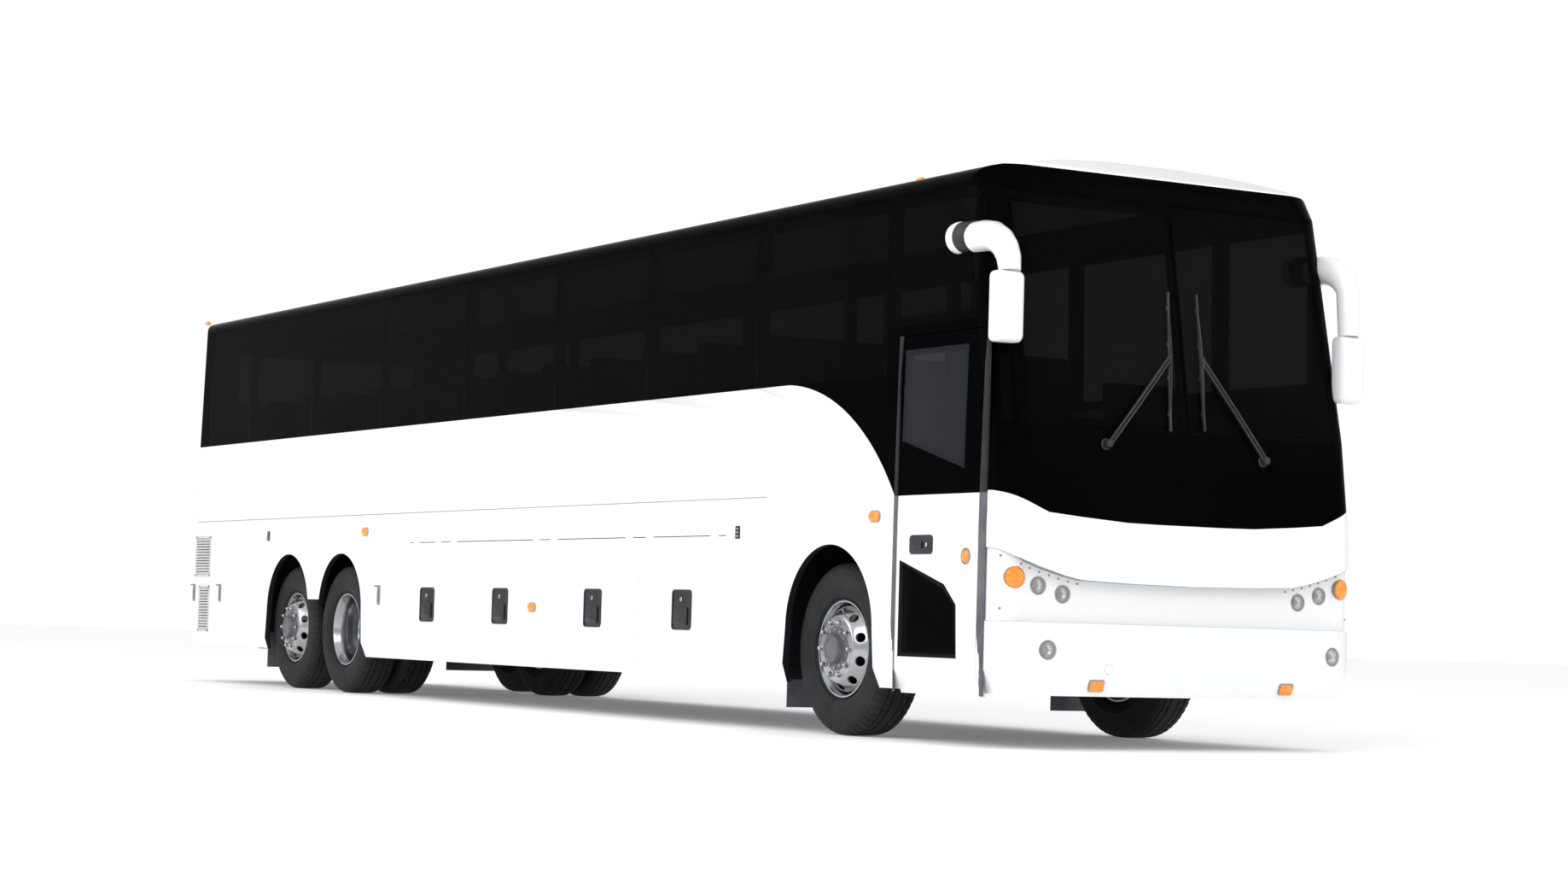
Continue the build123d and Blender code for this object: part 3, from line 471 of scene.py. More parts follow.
# ---- repeated items, by Geometry Nodes ----
def repeat_tree(name, in_a_ring):
    """Item copied round a ring (about Z, facing out) or along a line (from Start by Step)."""
    tree = bpy.data.node_groups.new(name, "GeometryNodeTree")
    sizes = {"Radius": "Float"} if in_a_ring else {"Start": "Vector", "Step": "Vector"}
    for socket, kind in {"Item": "Object", "Count": "Int", "Finish": "Material", **sizes}.items():
        tree.interface.new_socket(socket, in_out="INPUT", socket_type="NodeSocket" + kind)
    tree.interface.new_socket("Geometry", in_out="OUTPUT", socket_type="NodeSocketGeometry")
    given = add(tree, "NodeGroupInput").outputs
    item = add(tree, "GeometryNodeObjectInfo", Object=given["Item"])
    if in_a_ring:
        line = add(tree, "GeometryNodeMeshCircle", Vertices=given["Count"], Radius=given["Radius"])
        share = add(tree, "ShaderNodeMath", {"operation": "DIVIDE"}, i0=add(tree, "GeometryNodeInputIndex").outputs[0],
                    i1=given["Count"])
        angle = add(tree, "ShaderNodeMath", {"operation": "MULTIPLY"}, i0=share.outputs[0], i1=2 * math.pi)
        turn = add(tree, "ShaderNodeCombineXYZ", Z=angle.outputs[0])
        copies = add(tree, "GeometryNodeInstanceOnPoints", Points=line.outputs["Mesh"],
                     Instance=item.outputs["Geometry"], Rotation=turn.outputs[0])
    else:
        line = add(tree, "GeometryNodeMeshLine", {"mode": "OFFSET"}, Count=given["Count"],
                   Start_Location=given["Start"], Offset=given["Step"])
        copies = add(tree, "GeometryNodeInstanceOnPoints", Points=line.outputs["Mesh"],
                     Instance=item.outputs["Geometry"])
    real = add(tree, "GeometryNodeRealizeInstances", Geometry=copies.outputs["Instances"])
    painted = add(tree, "GeometryNodeSetMaterial", Geometry=real.outputs[0], Material=given["Finish"])
    add(tree, "NodeGroupOutput", Geometry=painted.outputs[0])
    return tree


RING = repeat_tree("items_in_a_ring", True)
ROW = repeat_tree("items_in_a_row", False)


def repeated(name, tree, build_item, turn=None, **inputs):
    """Plain mesh of one item repeated by a tree; the inputs go by their names."""
    item = bpy.data.objects.new(name + "_item", smooth(mesh_from(name + "_item", build_item), 30))
    host = bpy.data.objects.new(name + "_host", bpy.data.meshes.new(name + "_host"))
    bpy.context.collection.objects.link(item)
    bpy.context.collection.objects.link(host)
    made = host.modifiers.new("repeat", "NODES")
    made.node_group = tree
    inputs["Item"] = item
    for socket in tree.interface.items_tree:
        if socket.in_out == "INPUT":
            made[socket.identifier] = inputs[socket.name]
    seen = host.evaluated_get(bpy.context.evaluated_depsgraph_get())
    mesh = bpy.data.meshes.new_from_object(seen)
    mesh.name = name
    bpy.data.objects.remove(host)
    bpy.data.objects.remove(item)
    if turn:
        mesh.transform(turn)
    return mesh


def joined(name, *meshes):
    """One mesh from several, keeping each one's materials and sharp edges."""
    parts = []
    for mesh in meshes:
        part = bpy.data.objects.new(name, mesh)
        bpy.context.collection.objects.link(part)
        parts.append(part)
    with bpy.context.temp_override(active_object=parts[0], object=parts[0], selected_objects=parts,
                                   selected_editable_objects=parts):
        bpy.ops.object.join()
    mesh = parts[0].data
    bpy.data.objects.remove(parts[0])
    mesh.name = name
    return mesh


# =========================================================================
# body panels: smooth copies of the CAD solids
# =========================================================================
ARCHES = [(4.900, 0.590), (-3.740, 1.320)]     # middle and half length of each side's wheel openings
ARCH_TOP, SILL_Z = 1.182, 0.345


def arch_edge(face):
    """Whether a face is the cut edge of a wheel arch, which is sprayed with black sealer."""
    middle = face.calc_center_median()
    inside = any(abs(middle.x - x) < half for x, half in ARCHES) and SILL_Z < middle.z < ARCH_TOP
    return inside and abs(face.normal.y) < 0.3 and abs(middle.y) < HALF_WIDTH - 0.004


def wall_paint(face):
    """Paint of a side wall's face: white skin, black band between the panes, black arch edges."""
    middle = face.calc_center_median()
    return 1 if middle.z > BAND_Z else 2 if arch_edge(face) else 0


PANELS = [node for node in NODES if SLOT_OF[node] in ("white_paint", "black_gloss", "dark_glass", "clear_glass")
          and node not in ("entrance_door", "entrance_door_glass", "side_wall_right", "side_wall_left", "mirrors",
                           "lamp_band", "rear_shell", "roof_panel", "front_mask", "windshield_surround")]
for node_name in PANELS:
    refined(node_name)
refined("windshield_surround", BLACK, WHITE, curve=BLACK_EDGE, second=below(BLACK_EDGE))
refined("front_mask", WHITE, curve=LAMP_EDGE, drop=True)
refined("roof_panel", WHITE, BLACK, split_z=ROOF_BLACK_Z,
        second=lambda face: face.calc_center_median().z < ROOF_BLACK_Z)
refined("side_wall_right", WHITE, BLACK, CHASSIS, split_z=BAND_Z, second=wall_paint)
refined("side_wall_left", WHITE, BLACK, CHASSIS, split_z=BAND_Z, second=wall_paint)
refined("rear_shell", WHITE, BLACK, split_z=BAND_Z)
refined("entrance_door", WHITE, BLACK, split_z=DOOR_SPLIT_Z)
refined("entrance_door_glass", FINISHES["dark_glass"], DOOR_PANE,
        second=lambda face: face.calc_center_median().z > DOOR_SPLIT_Z)

SIDE_SKIN = skin_of("side_wall_right", "side_wall_left", "corner_panels", "entrance_door",
                    *[node for node in NODES if node.startswith(("luggage_door", "service_door"))])
ROOF_SKIN = skin_of("roof_panel")
FRONT_SKIN = skin_of("front_mask", "lamp_band", "front_bumper", "windshield_surround", "windshield_glass")


# =========================================================================
# tyres and wheels
# =========================================================================
TREAD = [(0.0, 0.5350), (0.0270, 0.5350), (0.0290, 0.5220), (0.0345, 0.5220), (0.0365, 0.5348),
         (0.0720, 0.5338), (0.0740, 0.5210), (0.0795, 0.5210), (0.0815, 0.5330), (0.1020, 0.5312),
         (0.1160, 0.5280), (0.1270, 0.5200)]
WALL_LINE = [(0.1335, 0.5120), (0.1400, 0.5000), (0.1440, 0.4960), (0.1450, 0.4900), (0.1475, 0.4880),
             (0.1520, 0.4650), (0.1535, 0.4640), (0.1540, 0.4600), (0.1535, 0.4560), (0.1562, 0.4400),
             (0.1570, 0.4200), (0.1566, 0.4000), (0.1550, 0.3820), (0.1560, 0.3800), (0.1556, 0.3740),
             (0.1535, 0.3720), (0.1490, 0.3540), (0.1430, 0.3390), (0.1370, 0.3290), (0.1385, 0.3270),
             (0.1375, 0.3230), (0.1330, 0.3220), (0.1230, 0.3130), (0.1140, 0.3060), (0.1120, 0.2980),
             (0.1120, 0.2896)]
LUGS = 60                    # shoulder notches round the tyre
NUT_CIRCLE_R = 0.1675
SECTOR_STEPS = 8             # divisions of each hand hole's share of the disc
HAND_HOLES = 10


def tyre_mesh(name, places):
    """Carcass with ribs, grooves, notched shoulders and sidewall rings; places are (x, y)."""
    def build(bm):
        half = TREAD + WALL_LINE
        profile = [(-a, r) for a, r in reversed(half[1:])] + half
        segments = LUGS * 4
        for x, y in places:
            rings = []
            for k in range(segments):
                turn = 2 * math.pi * k / segments
                ring = []
                for axial, radius in profile:
                    notch = 0.0
                    if 0.09 < abs(axial) < 0.135 and radius > 0.505 and (k + (2 if axial > 0 else 0)) % 4 == 0:
                        notch = 0.011
                    elif 0.03 < abs(axial) < 0.073 and radius > 0.53 and k % 4 == 1:
                        notch = 0.006
                    r = radius - notch
                    ring.append(bm.verts.new((x + r * math.sin(turn), y + axial, AXLE_Z + r * math.cos(turn))))
                rings.append(ring)
            for k in range(segments):
                near, far = rings[k], rings[(k + 1) % segments]
                for j in range(len(profile) - 1):
                    bm.faces.new((near[j], near[j + 1], far[j + 1], far[j]))
    return smooth(mesh_from(name, build), 40)


DISC_LINE = [(0.262, 0.1040), (0.250, 0.1210), (0.236, 0.1400), (0.218, 0.1600), (0.205, 0.1715)]


def disc_at(radius):
    """Axial place of the disc's outer face at a radius."""
    for (r0, a0), (r1, a1) in zip(DISC_LINE, DISC_LINE[1:]):
        if radius >= r1:
            share = (min(radius, r0) - r1) / (r0 - r1)
            return a1 + (a0 - a1) * share
    return DISC_LINE[-1][1]


def holed_band(bm, centre, out, sign):
    """Cone of the disc with oval hand holes; both faces and the holes' walls."""
    r_in, r_out, r_mid, thick = 0.205, 0.262, 0.2345, 0.016
    share = 2 * math.pi / HAND_HOLES

    def point(turn, r, depth=0.0):
        return Vector((centre[0] + r * math.sin(turn), centre[1] + out * sign * (disc_at(r) - depth),
                       centre[2] + r * math.cos(turn)))

    for k in range(HAND_HOLES):
        start = share * (k - 0.5)
        edge = [(start + share * j / SECTOR_STEPS, r_in) for j in range(SECTOR_STEPS)]
        edge += [(start + share, r_in + (r_out - r_in) * j / 4) for j in range(4)]
        edge += [(start + share - share * j / SECTOR_STEPS, r_out) for j in range(SECTOR_STEPS)]
        edge += [(start, r_out - (r_out - r_in) * j / 4) for j in range(4)]
        middle = start + share / 2
        loops = []
        for depth in (0.0, thick):
            outer = [bm.verts.new(point(t, r, depth)) for t, r in edge]
            rims = []
            for grow, extra in ((1.18, 0.0), (1.04, 0.001), (1.0, 0.004)):
                rim = []
                for t, r in edge:
                    along, up = (t - middle) / (share / 2), (r - r_mid) / ((r_out - r_in) / 2)
                    phi = math.atan2(up, along)
                    hole_t = middle + grow * 0.031 * math.cos(phi) / r_mid
                    hole_r = r_mid + grow * 0.0195 * math.sin(phi)
                    rim.append(bm.verts.new(point(hole_t, hole_r, depth + (extra if depth == 0.0 else -extra))))
                rims.append(rim)
            loops.append([outer, *rims])
        for chain in loops:
            for low, high in zip(chain, chain[1:]):
                bridge(bm, low, high)
        bridge(bm, loops[0][-1], loops[1][-1])


RIM_LINE = [(0.060, 0.262), (0.078, 0.270), (0.096, 0.278), (0.118, 0.2865), (0.1262, 0.2905), (0.1270, 0.2960),
            (0.1262, 0.3015), (0.1235, 0.3030), (0.1190, 0.3020), (0.1155, 0.2960), (0.1145, 0.2885),
            (0.096, 0.2880), (0.060, 0.2715)]


def wheel_mesh(name, x, y, out, sign, hub):
    """Forged disc wheel; out is the side of the coach, sign +1 for a disc that faces outwards."""
    def build(bm):
        axis = (0, out, 0)
        centre = (x, y, AXLE_Z)
        rim = RIM_LINE + [(-a, r) for a, r in reversed(RIM_LINE)]
        revolve(bm, rim + rim[:1], centre, axis, 160)
        holed_band(bm, centre, out, sign)
        ring = HAND_HOLES * SECTOR_STEPS
        face = [(sign * 0.1040, 0.262), (sign * 0.096, 0.2675), (sign * 0.070, 0.2640)]
        back = [(sign * 0.0880, 0.262), (sign * 0.075, 0.2645)]
        centre_line = [(sign * 0.1715, 0.205), (sign * 0.1750, 0.199), (sign * 0.1765, 0.190), (sign * 0.1765, 0.09)]
        centre_back = [(sign * 0.1555, 0.205), (sign * 0.1530, 0.196), (sign * 0.1530, 0.09)]
        for line in (face, back, centre_line, centre_back):
            revolve(bm, line, centre, axis, ring)
        revolve(bm, hub, centre, axis, 64, 1)
    return smooth(mesh_from(name, build), 30)


def hexagon(r, z):
    return [(r * math.cos(math.radians(60 * k)), r * math.sin(math.radians(60 * k)), z) for k in range(6)]


def nut(bm):
    """Flanged hex nut with a domed cap, on +Z."""
    revolve(bm, [(0.0, 0.0), (0.0, 0.0215), (0.003, 0.0215), (0.0045, 0.019)], (0, 0, 0), (0, 0, 1), 24)
    slab(bm, hexagon(0.0175, 0.002), (0, 0, 0.019))
    revolve(bm, [(0.019, 0.0135), (0.025, 0.0130), (0.030, 0.0105), (0.0335, 0.0055), (0.0345, 0.0)], (0, 0, 0),
            (0, 0, 1), 16)


def nut_ring(name, centre, out, radius, count, item=nut):
    """Fasteners round a hub, facing the outside."""
    turn = Matrix.Translation(centre) @ Matrix.Rotation(-out * math.pi / 2, 4, "X")
    return repeated(name, RING, item, turn, Count=count, Radius=radius, Finish=STEEL)


STEER_HUB = [(0.150, 0.0), (0.150, 0.140), (0.1800, 0.1390), (0.1815, 0.1350), (0.1815, 0.1000), (0.1840, 0.0960),
             (0.2150, 0.0890), (0.2215, 0.0850), (0.2240, 0.0780), (0.2243, 0.0620), (0.2200, 0.0600), (0.2200, 0.0)]
DRIVE_HUB = [(-0.160, 0.0), (-0.160, 0.1420), (-0.1480, 0.1400), (-0.1450, 0.1250), (-0.0460, 0.1180),
             (-0.0350, 0.1150), (-0.0310, 0.1090), (-0.0310, 0.0750), (-0.0280, 0.0720), (-0.0280, 0.0)]
INNER_HUB = [(0.0, 0.0), (0.0, 0.105), (0.150, 0.105), (0.150, 0.140), (0.174, 0.140), (0.174, 0.0)]


def bolt(bm):
    slab(bm, hexagon(0.0095, 0.0), (0, 0, 0.008))


def valve(bm, centre, out):
    """Valve stem with its cap, on the disc's cone."""
    x, y, z = centre
    foot = Vector((x + 0.215 * math.sin(0.31), y + out * 0.160, z + 0.215 * math.cos(0.31)))
    tip = foot + Vector((0.020, out * 0.032, 0.045))
    tube(bm, [foot, foot + (tip - foot) * 0.6, foot + (tip - foot) * 0.61, tip], [0.0035, 0.0035, 0.0050, 0.0048], 10)


def make_wheels():
    for side, out in SIDES.items():
        for place, x in STEER_WHEELS.items():
            body, y = f"{place}_wheel_{side}", out * STEER_TRACK
            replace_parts(piece(f"tyre_{place}_{side}_tread", tyre_mesh("tread", [(x, y)]), body, "tyre", RUBBER),
                        f"tyre_{place}_{side}")
            disc = wheel_mesh("disc", x, y, out, 1, STEER_HUB)
            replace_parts(piece(f"wheel_{place}_{side}_forging", disc, body, "polished_aluminium", ALLOY, HUB_GREY),
                        f"wheel_{place}_{side}")
            nuts = nut_ring("nuts", (x, y + out * 0.1765, AXLE_Z), out, NUT_CIRCLE_R, 10)
            piece(f"wheel_{place}_{side}_nuts", nuts, body, "polished_aluminium")
            bolts = nut_ring("cap_bolts", (x, y + out * 0.1815, AXLE_Z), out, 0.118, 12, bolt)
            piece(f"wheel_{place}_{side}_hub_bolts", bolts, body, "polished_aluminium")
            stem = mesh_from("valve", lambda bm: valve(bm, (x, y, AXLE_Z), out))
            piece(f"wheel_{place}_{side}_valve", smooth(stem), body, "polished_aluminium", STEEL)
        body, y0, y1 = f"drive_wheel_{side}", out * INNER_TWIN, out * OUTER_TWIN
        treads = tyre_mesh("treads", [(DRIVE_X, y0), (DRIVE_X, y1)])
        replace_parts(piece(f"tyre_drive_{side}_tread", treads, body, "tyre", RUBBER), f"tyre_drive_{side}")
        discs = joined("discs", wheel_mesh("outer", DRIVE_X, y1, out, -1, DRIVE_HUB),
                       wheel_mesh("inner", DRIVE_X, y0, out, 1, INNER_HUB))
        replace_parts(piece(f"wheel_drive_{side}_forging", discs, body, "polished_aluminium", ALLOY, HUB_GREY),
                    f"wheel_drive_{side}")
        nuts = nut_ring("nuts", (DRIVE_X, y1 - out * 0.1535, AXLE_Z), out, NUT_CIRCLE_R, 10)
        piece(f"wheel_drive_{side}_nuts", nuts, body, "polished_aluminium")
        bolts = nut_ring("flange_bolts", (DRIVE_X, y1 - out * 0.0312, AXLE_Z), out, 0.092, 12, bolt)
        piece(f"wheel_drive_{side}_flange_bolts", bolts, body, "polished_aluminium")


# =========================================================================
# side fittings
# =========================================================================
LATCHES = {"service_door": -1.280, "luggage_door_rear": 0.090, "luggage_door_middle": 1.650,
           "luggage_door_front": 2.990}
LATCH_Z0, LATCH_Z1, LATCH_HALF, LATCH_RISE = 0.620, 0.890, 0.135, 0.001
PADDLES = [-2.273, -6.068, -6.774]
SEAM_Z, SEAM_HALF = 1.487, 0.002
VENTS = [(-4.859, 1.335), (3.730, 1.265)]


def latch(bm, x, out):
    """Dark liner on the flat door, a paddle in its lower half and a lock."""
    middle, floor_y = (LATCH_Z0 + LATCH_Z1) / 2, out * (HALF_WIDTH + LATCH_RISE)
    height = LATCH_Z1 - LATCH_Z0
    plate(bm, (x, floor_y, middle), (0, out, 0), 2 * LATCH_HALF - 0.004, height - 0.004, 0.028, 0.003, 0.001)
    loop = rounded(-LATCH_HALF, LATCH_HALF, -height / 2, height / 2, 0.030)
    inner = rounded(-LATCH_HALF + 0.012, LATCH_HALF - 0.012, -height / 2 + 0.012, height / 2 - 0.012, 0.022)
    y0, y1, y2 = out * (HALF_WIDTH - 0.004), out * (HALF_WIDTH + 0.008), out * (HALF_WIDTH + 0.007)
    rings = [[bm.verts.new((x + u, y, middle + v)) for u, v in line]
             for line, y in ((loop, y0), (loop, y1), (inner, y2), (inner, y0))]
    for low, high in zip(rings, rings[1:]):
        bridge(bm, low, high)
    paddle_z = middle - 0.045
    plate(bm, (x, floor_y + out * 0.004, paddle_z), (0, out, 0), 0.190, 0.120, 0.016, 0.011, 0.004, 1, 0.0)
    plate(bm, (x, floor_y + out * 0.014, paddle_z - 0.030), (0, out, 0), 0.150, 0.030, 0.010, 0.004, 0.002, 1, 0.0)
    revolve(bm, [(0.0, 0.0), (0.0, 0.016), (0.006, 0.016), (0.0085, 0.013), (0.0085, 0.004), (0.004, 0.004),
                 (0.004, 0.0)], (x, floor_y + out * 0.004, middle + 0.070), (0, out, 0), 24, 2)


def paddle_handle(bm, x, out):
    """Small flap lock: an upright lever with a short rail at its head."""
    y = out * HALF_WIDTH
    plate(bm, (x, y, 0.824), (0, out, 0), 0.052, 0.160, 0.010, 0.007)
    plate(bm, (x, y + out * 0.007, 0.815), (0, out, 0), 0.034, 0.110, 0.008, 0.006, sink=0.0)
    plate(bm, (x - 0.062, y, 0.897), (0, out, 0), 0.080, 0.014, 0.004, 0.006)


def vent(bm, x, z, out):
    """Louvred breather: a frame with three small hoods."""
    y = out * HALF_WIDTH
    plate(bm, (x, y, z), (0, out, 0), 0.060, 0.085, 0.008, 0.005)
    for k in range(3):
        low = z - 0.030 + 0.024 * k
        slab(bm, [(x - 0.022, y + out * 0.004, low), (x - 0.022, y + out * 0.012, low),
                  (x - 0.022, y + out * 0.004, low + 0.014)], (0.044, 0, 0), 1)


def dome(bm, centre, normal, r, rise=0.014, bezel=0.005, lens=0, ring=1):
    """Round lens with a bezel."""
    n = Vector(normal).normalized()
    steps = [(rise * math.cos(math.radians(a)) + 0.002, (r - bezel) * math.sin(math.radians(a)))
             for a in (90, 76, 62, 48, 34, 20, 8)]
    revolve(bm, [(-0.004, r - bezel), *steps, (rise + 0.002, 0.0)], centre, n, 40, lens)
    revolve(bm, [(-0.006, r + bezel), (0.003, r + bezel), (0.006, r + bezel * 0.4), (0.006, r - bezel * 0.6),
                 (-0.002, r - bezel)], centre, n, 40, ring)


def oval_marker(bm, place, out):
    """Long side marker: a low domed lens on a thin base."""
    plate(bm, place, (0, out, 0), 0.124, 0.064, 0.030, 0.016, 0.014)
    plate(bm, place, (0, out, 0), 0.132, 0.072, 0.034, 0.003, 0.001, 1)


def make_side_fittings():
    spots = [(-2.610, 1.346), (5.425, 1.341)]
    for side, out in SIDES.items():
        for bay, x in LATCHES.items():
            mesh = smooth(mesh_from("latch", lambda bm: latch(bm, x, out)), 40)
            piece(f"{bay}_{side}_latch", mesh, f"{bay}_{side}", "black_plastic", NAVY, PLASTIC, STEEL)

        def hardware(bm):
            for x in PADDLES:
                paddle_handle(bm, x, out)
        built(f"flap_locks_{side}", hardware, "coach_body", "black_plastic", GREY)

        # Grey strip over the waist groove: a real seam, its grey a painted shade of the groove.
        def seam(bm):
            for x0, x1 in ((-6.740, -2.300), (-2.298, 2.400), (2.402, 4.100)):
                slab(bm, [(x0, out * (HALF_WIDTH + rise), SEAM_Z + up) for rise, up in
                          ((-0.003, -SEAM_HALF), (0.0006, -SEAM_HALF), (0.0006, SEAM_HALF), (-0.003, SEAM_HALF))],
                     (x1 - x0, 0, 0))
        built(f"waist_seam_{side}", seam, "coach_body", "white_paint", GREY)

        def vents(bm):
            for x, z in VENTS:
                vent(bm, x, z, out)
        built(f"breathers_{side}", vents, "coach_body", "black_plastic", PLASTIC, GREY)

        def lamps(bm):
            for x, z in spots:
                oval_marker(bm, on_side(SIDE_SKIN, out, x, z), out)
            if out == LEFT:
                dome(bm, on_side(SIDE_SKIN, out, 6.434, 1.096), (0, out, 0), 0.044)
        built(f"side_markers_{side}", lamps, "coach_body", "amber_lens", AMBER, GREY)
        low = smooth(mesh_from("marker", lambda bm: oval_marker(bm, (0.649, out * HALF_WIDTH, 0.750), out)))
        piece(f"low_marker_{side}", low, f"luggage_door_rear_{side}", "amber_lens", AMBER, GREY)



def make_marker_lamps():
    """Amber lamps low on the bumper and on the roof cap."""
    def build(bm):
        for out in (RIGHT, LEFT):
            place, normal = on_front(FRONT_SKIN, out * 0.689, 0.374)
            plate(bm, place, normal, 0.095, 0.060, 0.012, 0.018, 0.006)
            plate(bm, place, normal, 0.107, 0.072, 0.014, 0.006, 0.002, 1)
            plate(bm, on_side(ROOF_SKIN, out, 5.60, 3.385), (0, out, 0.5), 0.070, 0.028, 0.010, 0.010,
                  0.004, sink=0.018)
            plate(bm, on_side(ROOF_SKIN, out, -6.700, 3.370), (0, out, 0.5), 0.080, 0.030, 0.010, 0.012,
                  0.004, sink=0.02)
    made = built("amber_lamps", build, "coach_body", "amber_lens", AMBER, GREY)
    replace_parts(made, "marker_lamps")


# ---- entrance door ----
def make_door_fittings():
    out = RIGHT

    def pad(bm):
        y = on_side(SIDE_SKIN, out, 5.955, 1.167).y
        plate(bm, (5.955, y, 1.167), (0, out, 0), 0.250, 0.114, 0.026, 0.007, 0.004)
        plate(bm, (5.955, y + out * 0.007, 1.167), (0, out, 0), 0.190, 0.070, 0.016, 0.002, 0.001, 1, 0.0)
        plate(bm, (5.930, y + out * 0.008, 1.165), (0, out, 0), 0.110, 0.046, 0.012, 0.014, 0.006, 0, 0.0)
        revolve(bm, [(0.0, 0.0), (0.0, 0.012), (0.004, 0.012), (0.005, 0.010), (0.005, 0.0)],
                (6.022, y + out * 0.008, 1.165), (0, out, 0), 20, 2)
    built("door_handle", pad, "entrance_door", "black_plastic", NAVY, PLASTIC, STEEL)
    built("door_marker", lambda bm: dome(bm, on_side(SIDE_SKIN, out, 6.434, 1.096), (0, out, 0), 0.044),
          "entrance_door", "amber_lens", AMBER, GREY)

    def seals(bm):
        """Bulb seals at the door's ends, on the coach; grey below the door's paint split, partly painted shade of the
        rounded door edges, and dark above.
        """
        for x0, x1, rise in ((5.640, 5.682, 0.007), (6.566, 6.640, 0.012)):
            rows = [(0.296, 0.006), (0.340, 0.003), (0.700, 0.0), (1.460, 0.0), (2.200, 0.0), (2.418, 0.0)]
            rings = []
            for z, wide in rows:
                y = on_side(SIDE_SKIN, out, x0 - 0.002, max(z, 0.33)).y
                y2 = on_side(SIDE_SKIN, out, x1 + 0.002, max(z, 0.33)).y
                if abs(y) < 1.2:
                    y = y2
                ring = []
                for share, lift in ((0.0, -0.006), (0.0, rise * 0.5), (0.18, rise), (0.5, rise * 1.15), (0.82, rise),
                                    (1.0, rise * 0.5), (1.0, -0.006)):
                    ring.append(bm.verts.new((x0 - wide + (x1 - x0 + wide) * share,
                                              y + (y2 - y) * share + out * lift, z)))
                rings.append(ring)
            # Grey seal below the paint split, dark rubber above: the grey is partly painted shade of the door's rounded
            # edges.
            for (z, _), low, high in zip(rows, rings, rings[1:]):
                for face in bridge(bm, low, high):
                    face.material_index = 0 if z < DOOR_SPLIT_Z - 0.01 else 1
            bm.faces.new(rings[0])
            bm.faces.new(rings[-1])
    built("door_seals", seals, "coach_body", "black_rubber", SEAL, RUBBER, degrees=50)


# =========================================================================
# front fittings
# =========================================================================
def lamp_unit(bm, place, normal, r, lens, depth=0.040):
    """Bezel, bowl with a bulb, and a domed cover; the bulb is black and wide, a painted dark reflection in the bowl.
    Materials: 0 bezel, 1 bowl, 2 bulb, 3 cover.
    """
    revolve(bm, [(-0.030, r + 0.003), (0.000, r + 0.003), (0.005, r + 0.001), (0.006, r - 0.003), (0.003, r - 0.006),
                 (-0.004, r - 0.007)], place, normal, 48, 0)
    bowl = [(-depth * math.cos(math.radians(a)) ** 1.0 - 0.001, (r - 0.006) * math.sin(math.radians(a)))
            for a in (90, 78, 64, 50, 36, 22, 10)]
    revolve(bm, [*bowl, (-depth, 0.0)], place, normal, 48, 1)
    # Wide black bulb: a real bulb, its black and width a painted dark reflection in the bowl.
    revolve(bm, [(-depth, 0.020), (-depth + 0.012, 0.019), (-depth + 0.020, 0.014), (-depth + 0.024, 0.0)], place,
            normal, 20, 2)
    for k in range(5):
        radius = (r - 0.010) * (k + 1) / 6
        revolve(bm, [(-0.001, radius - 0.0012), (0.0008, radius), (-0.001, radius + 0.0012)], place, normal, 40, 3)
    cover = [(0.011 * math.cos(math.radians(a)) + 0.001, (r - 0.004) * math.sin(math.radians(a)))
             for a in (90, 76, 62, 48, 34, 20, 8)]
    revolve(bm, [(-0.003, r - 0.004), *cover, (0.012, 0.0)], place, normal, 48, lens)


MASK_SKIN = skin_of("front_mask")
PANEL_RECESS, PANEL_END_RECESS, PANEL_WALL = 0.060, 0.008, 0.004
PANEL_FOOT_Z = 0.7295
HEAD_LAMPS = ((1.026, 0.936, 0.050), (0.860, 0.892, 0.050))      # distance from the middle, height, radius
FOG_LAMP, TURN_LAMP = (1.035, 0.572, 0.052), (1.192, 0.979, 0.060)
TAPER_Y, TAPER_LENGTH = 1.12, 0.165                              # where the panel starts to come forward


def nose_point(turn, z, depth):
    """Place at a depth behind the mask's plan line, at an angle from straight ahead."""
    ahead = Vector((math.cos(turn), math.sin(turn), 0))
    hit, normal = MASK_SKIN.ray_cast(Vector((6.20, 0, max(z, 0.965))) + ahead * 2.5, -ahead, 2.5)[:2]
    if normal.dot(ahead) < 0:
        normal = -normal
    normal.z = 0
    share = min(max((abs(hit.y) - TAPER_Y) / TAPER_LENGTH, 0.0), 1.0)
    if depth > 0.01:
        depth -= (PANEL_RECESS - PANEL_END_RECESS) * share
    return Vector((hit.x, hit.y, z)) - normal.normalized() * depth


TURNS = [math.radians(-72.8 + 145.6 * k / 120) for k in range(121)]


def nose_strip(bm, low, high, near, far, rows=1, material=0):
    """Closed strip round the nose between two heights, given as functions of y, and two depths."""
    grids = []
    for depth in (near, far):
        grid = []
        for turn in TURNS:
            y = nose_point(turn, 1.0, 0.0).y
            grid.append([bm.verts.new(nose_point(turn, low(y) + (high(y) - low(y)) * j / rows, depth))
                         for j in range(rows + 1)])
        grids.append(grid)
    last = len(TURNS) - 1
    faces = []
    for grid in grids:
        faces += [bm.faces.new((grid[k][j], grid[k + 1][j], grid[k + 1][j + 1], grid[k][j + 1]))
                  for k in range(last) for j in range(rows)]
    a, b = grids
    for j in (0, rows):
        faces += [bm.faces.new((a[k][j], a[k + 1][j], b[k + 1][j], b[k][j])) for k in range(last)]
    for k in (0, last):
        faces += [bm.faces.new((a[k][j], a[k][j + 1], b[k][j + 1], b[k][j])) for j in range(rows)]
    for face in faces:
        face.material_index = material


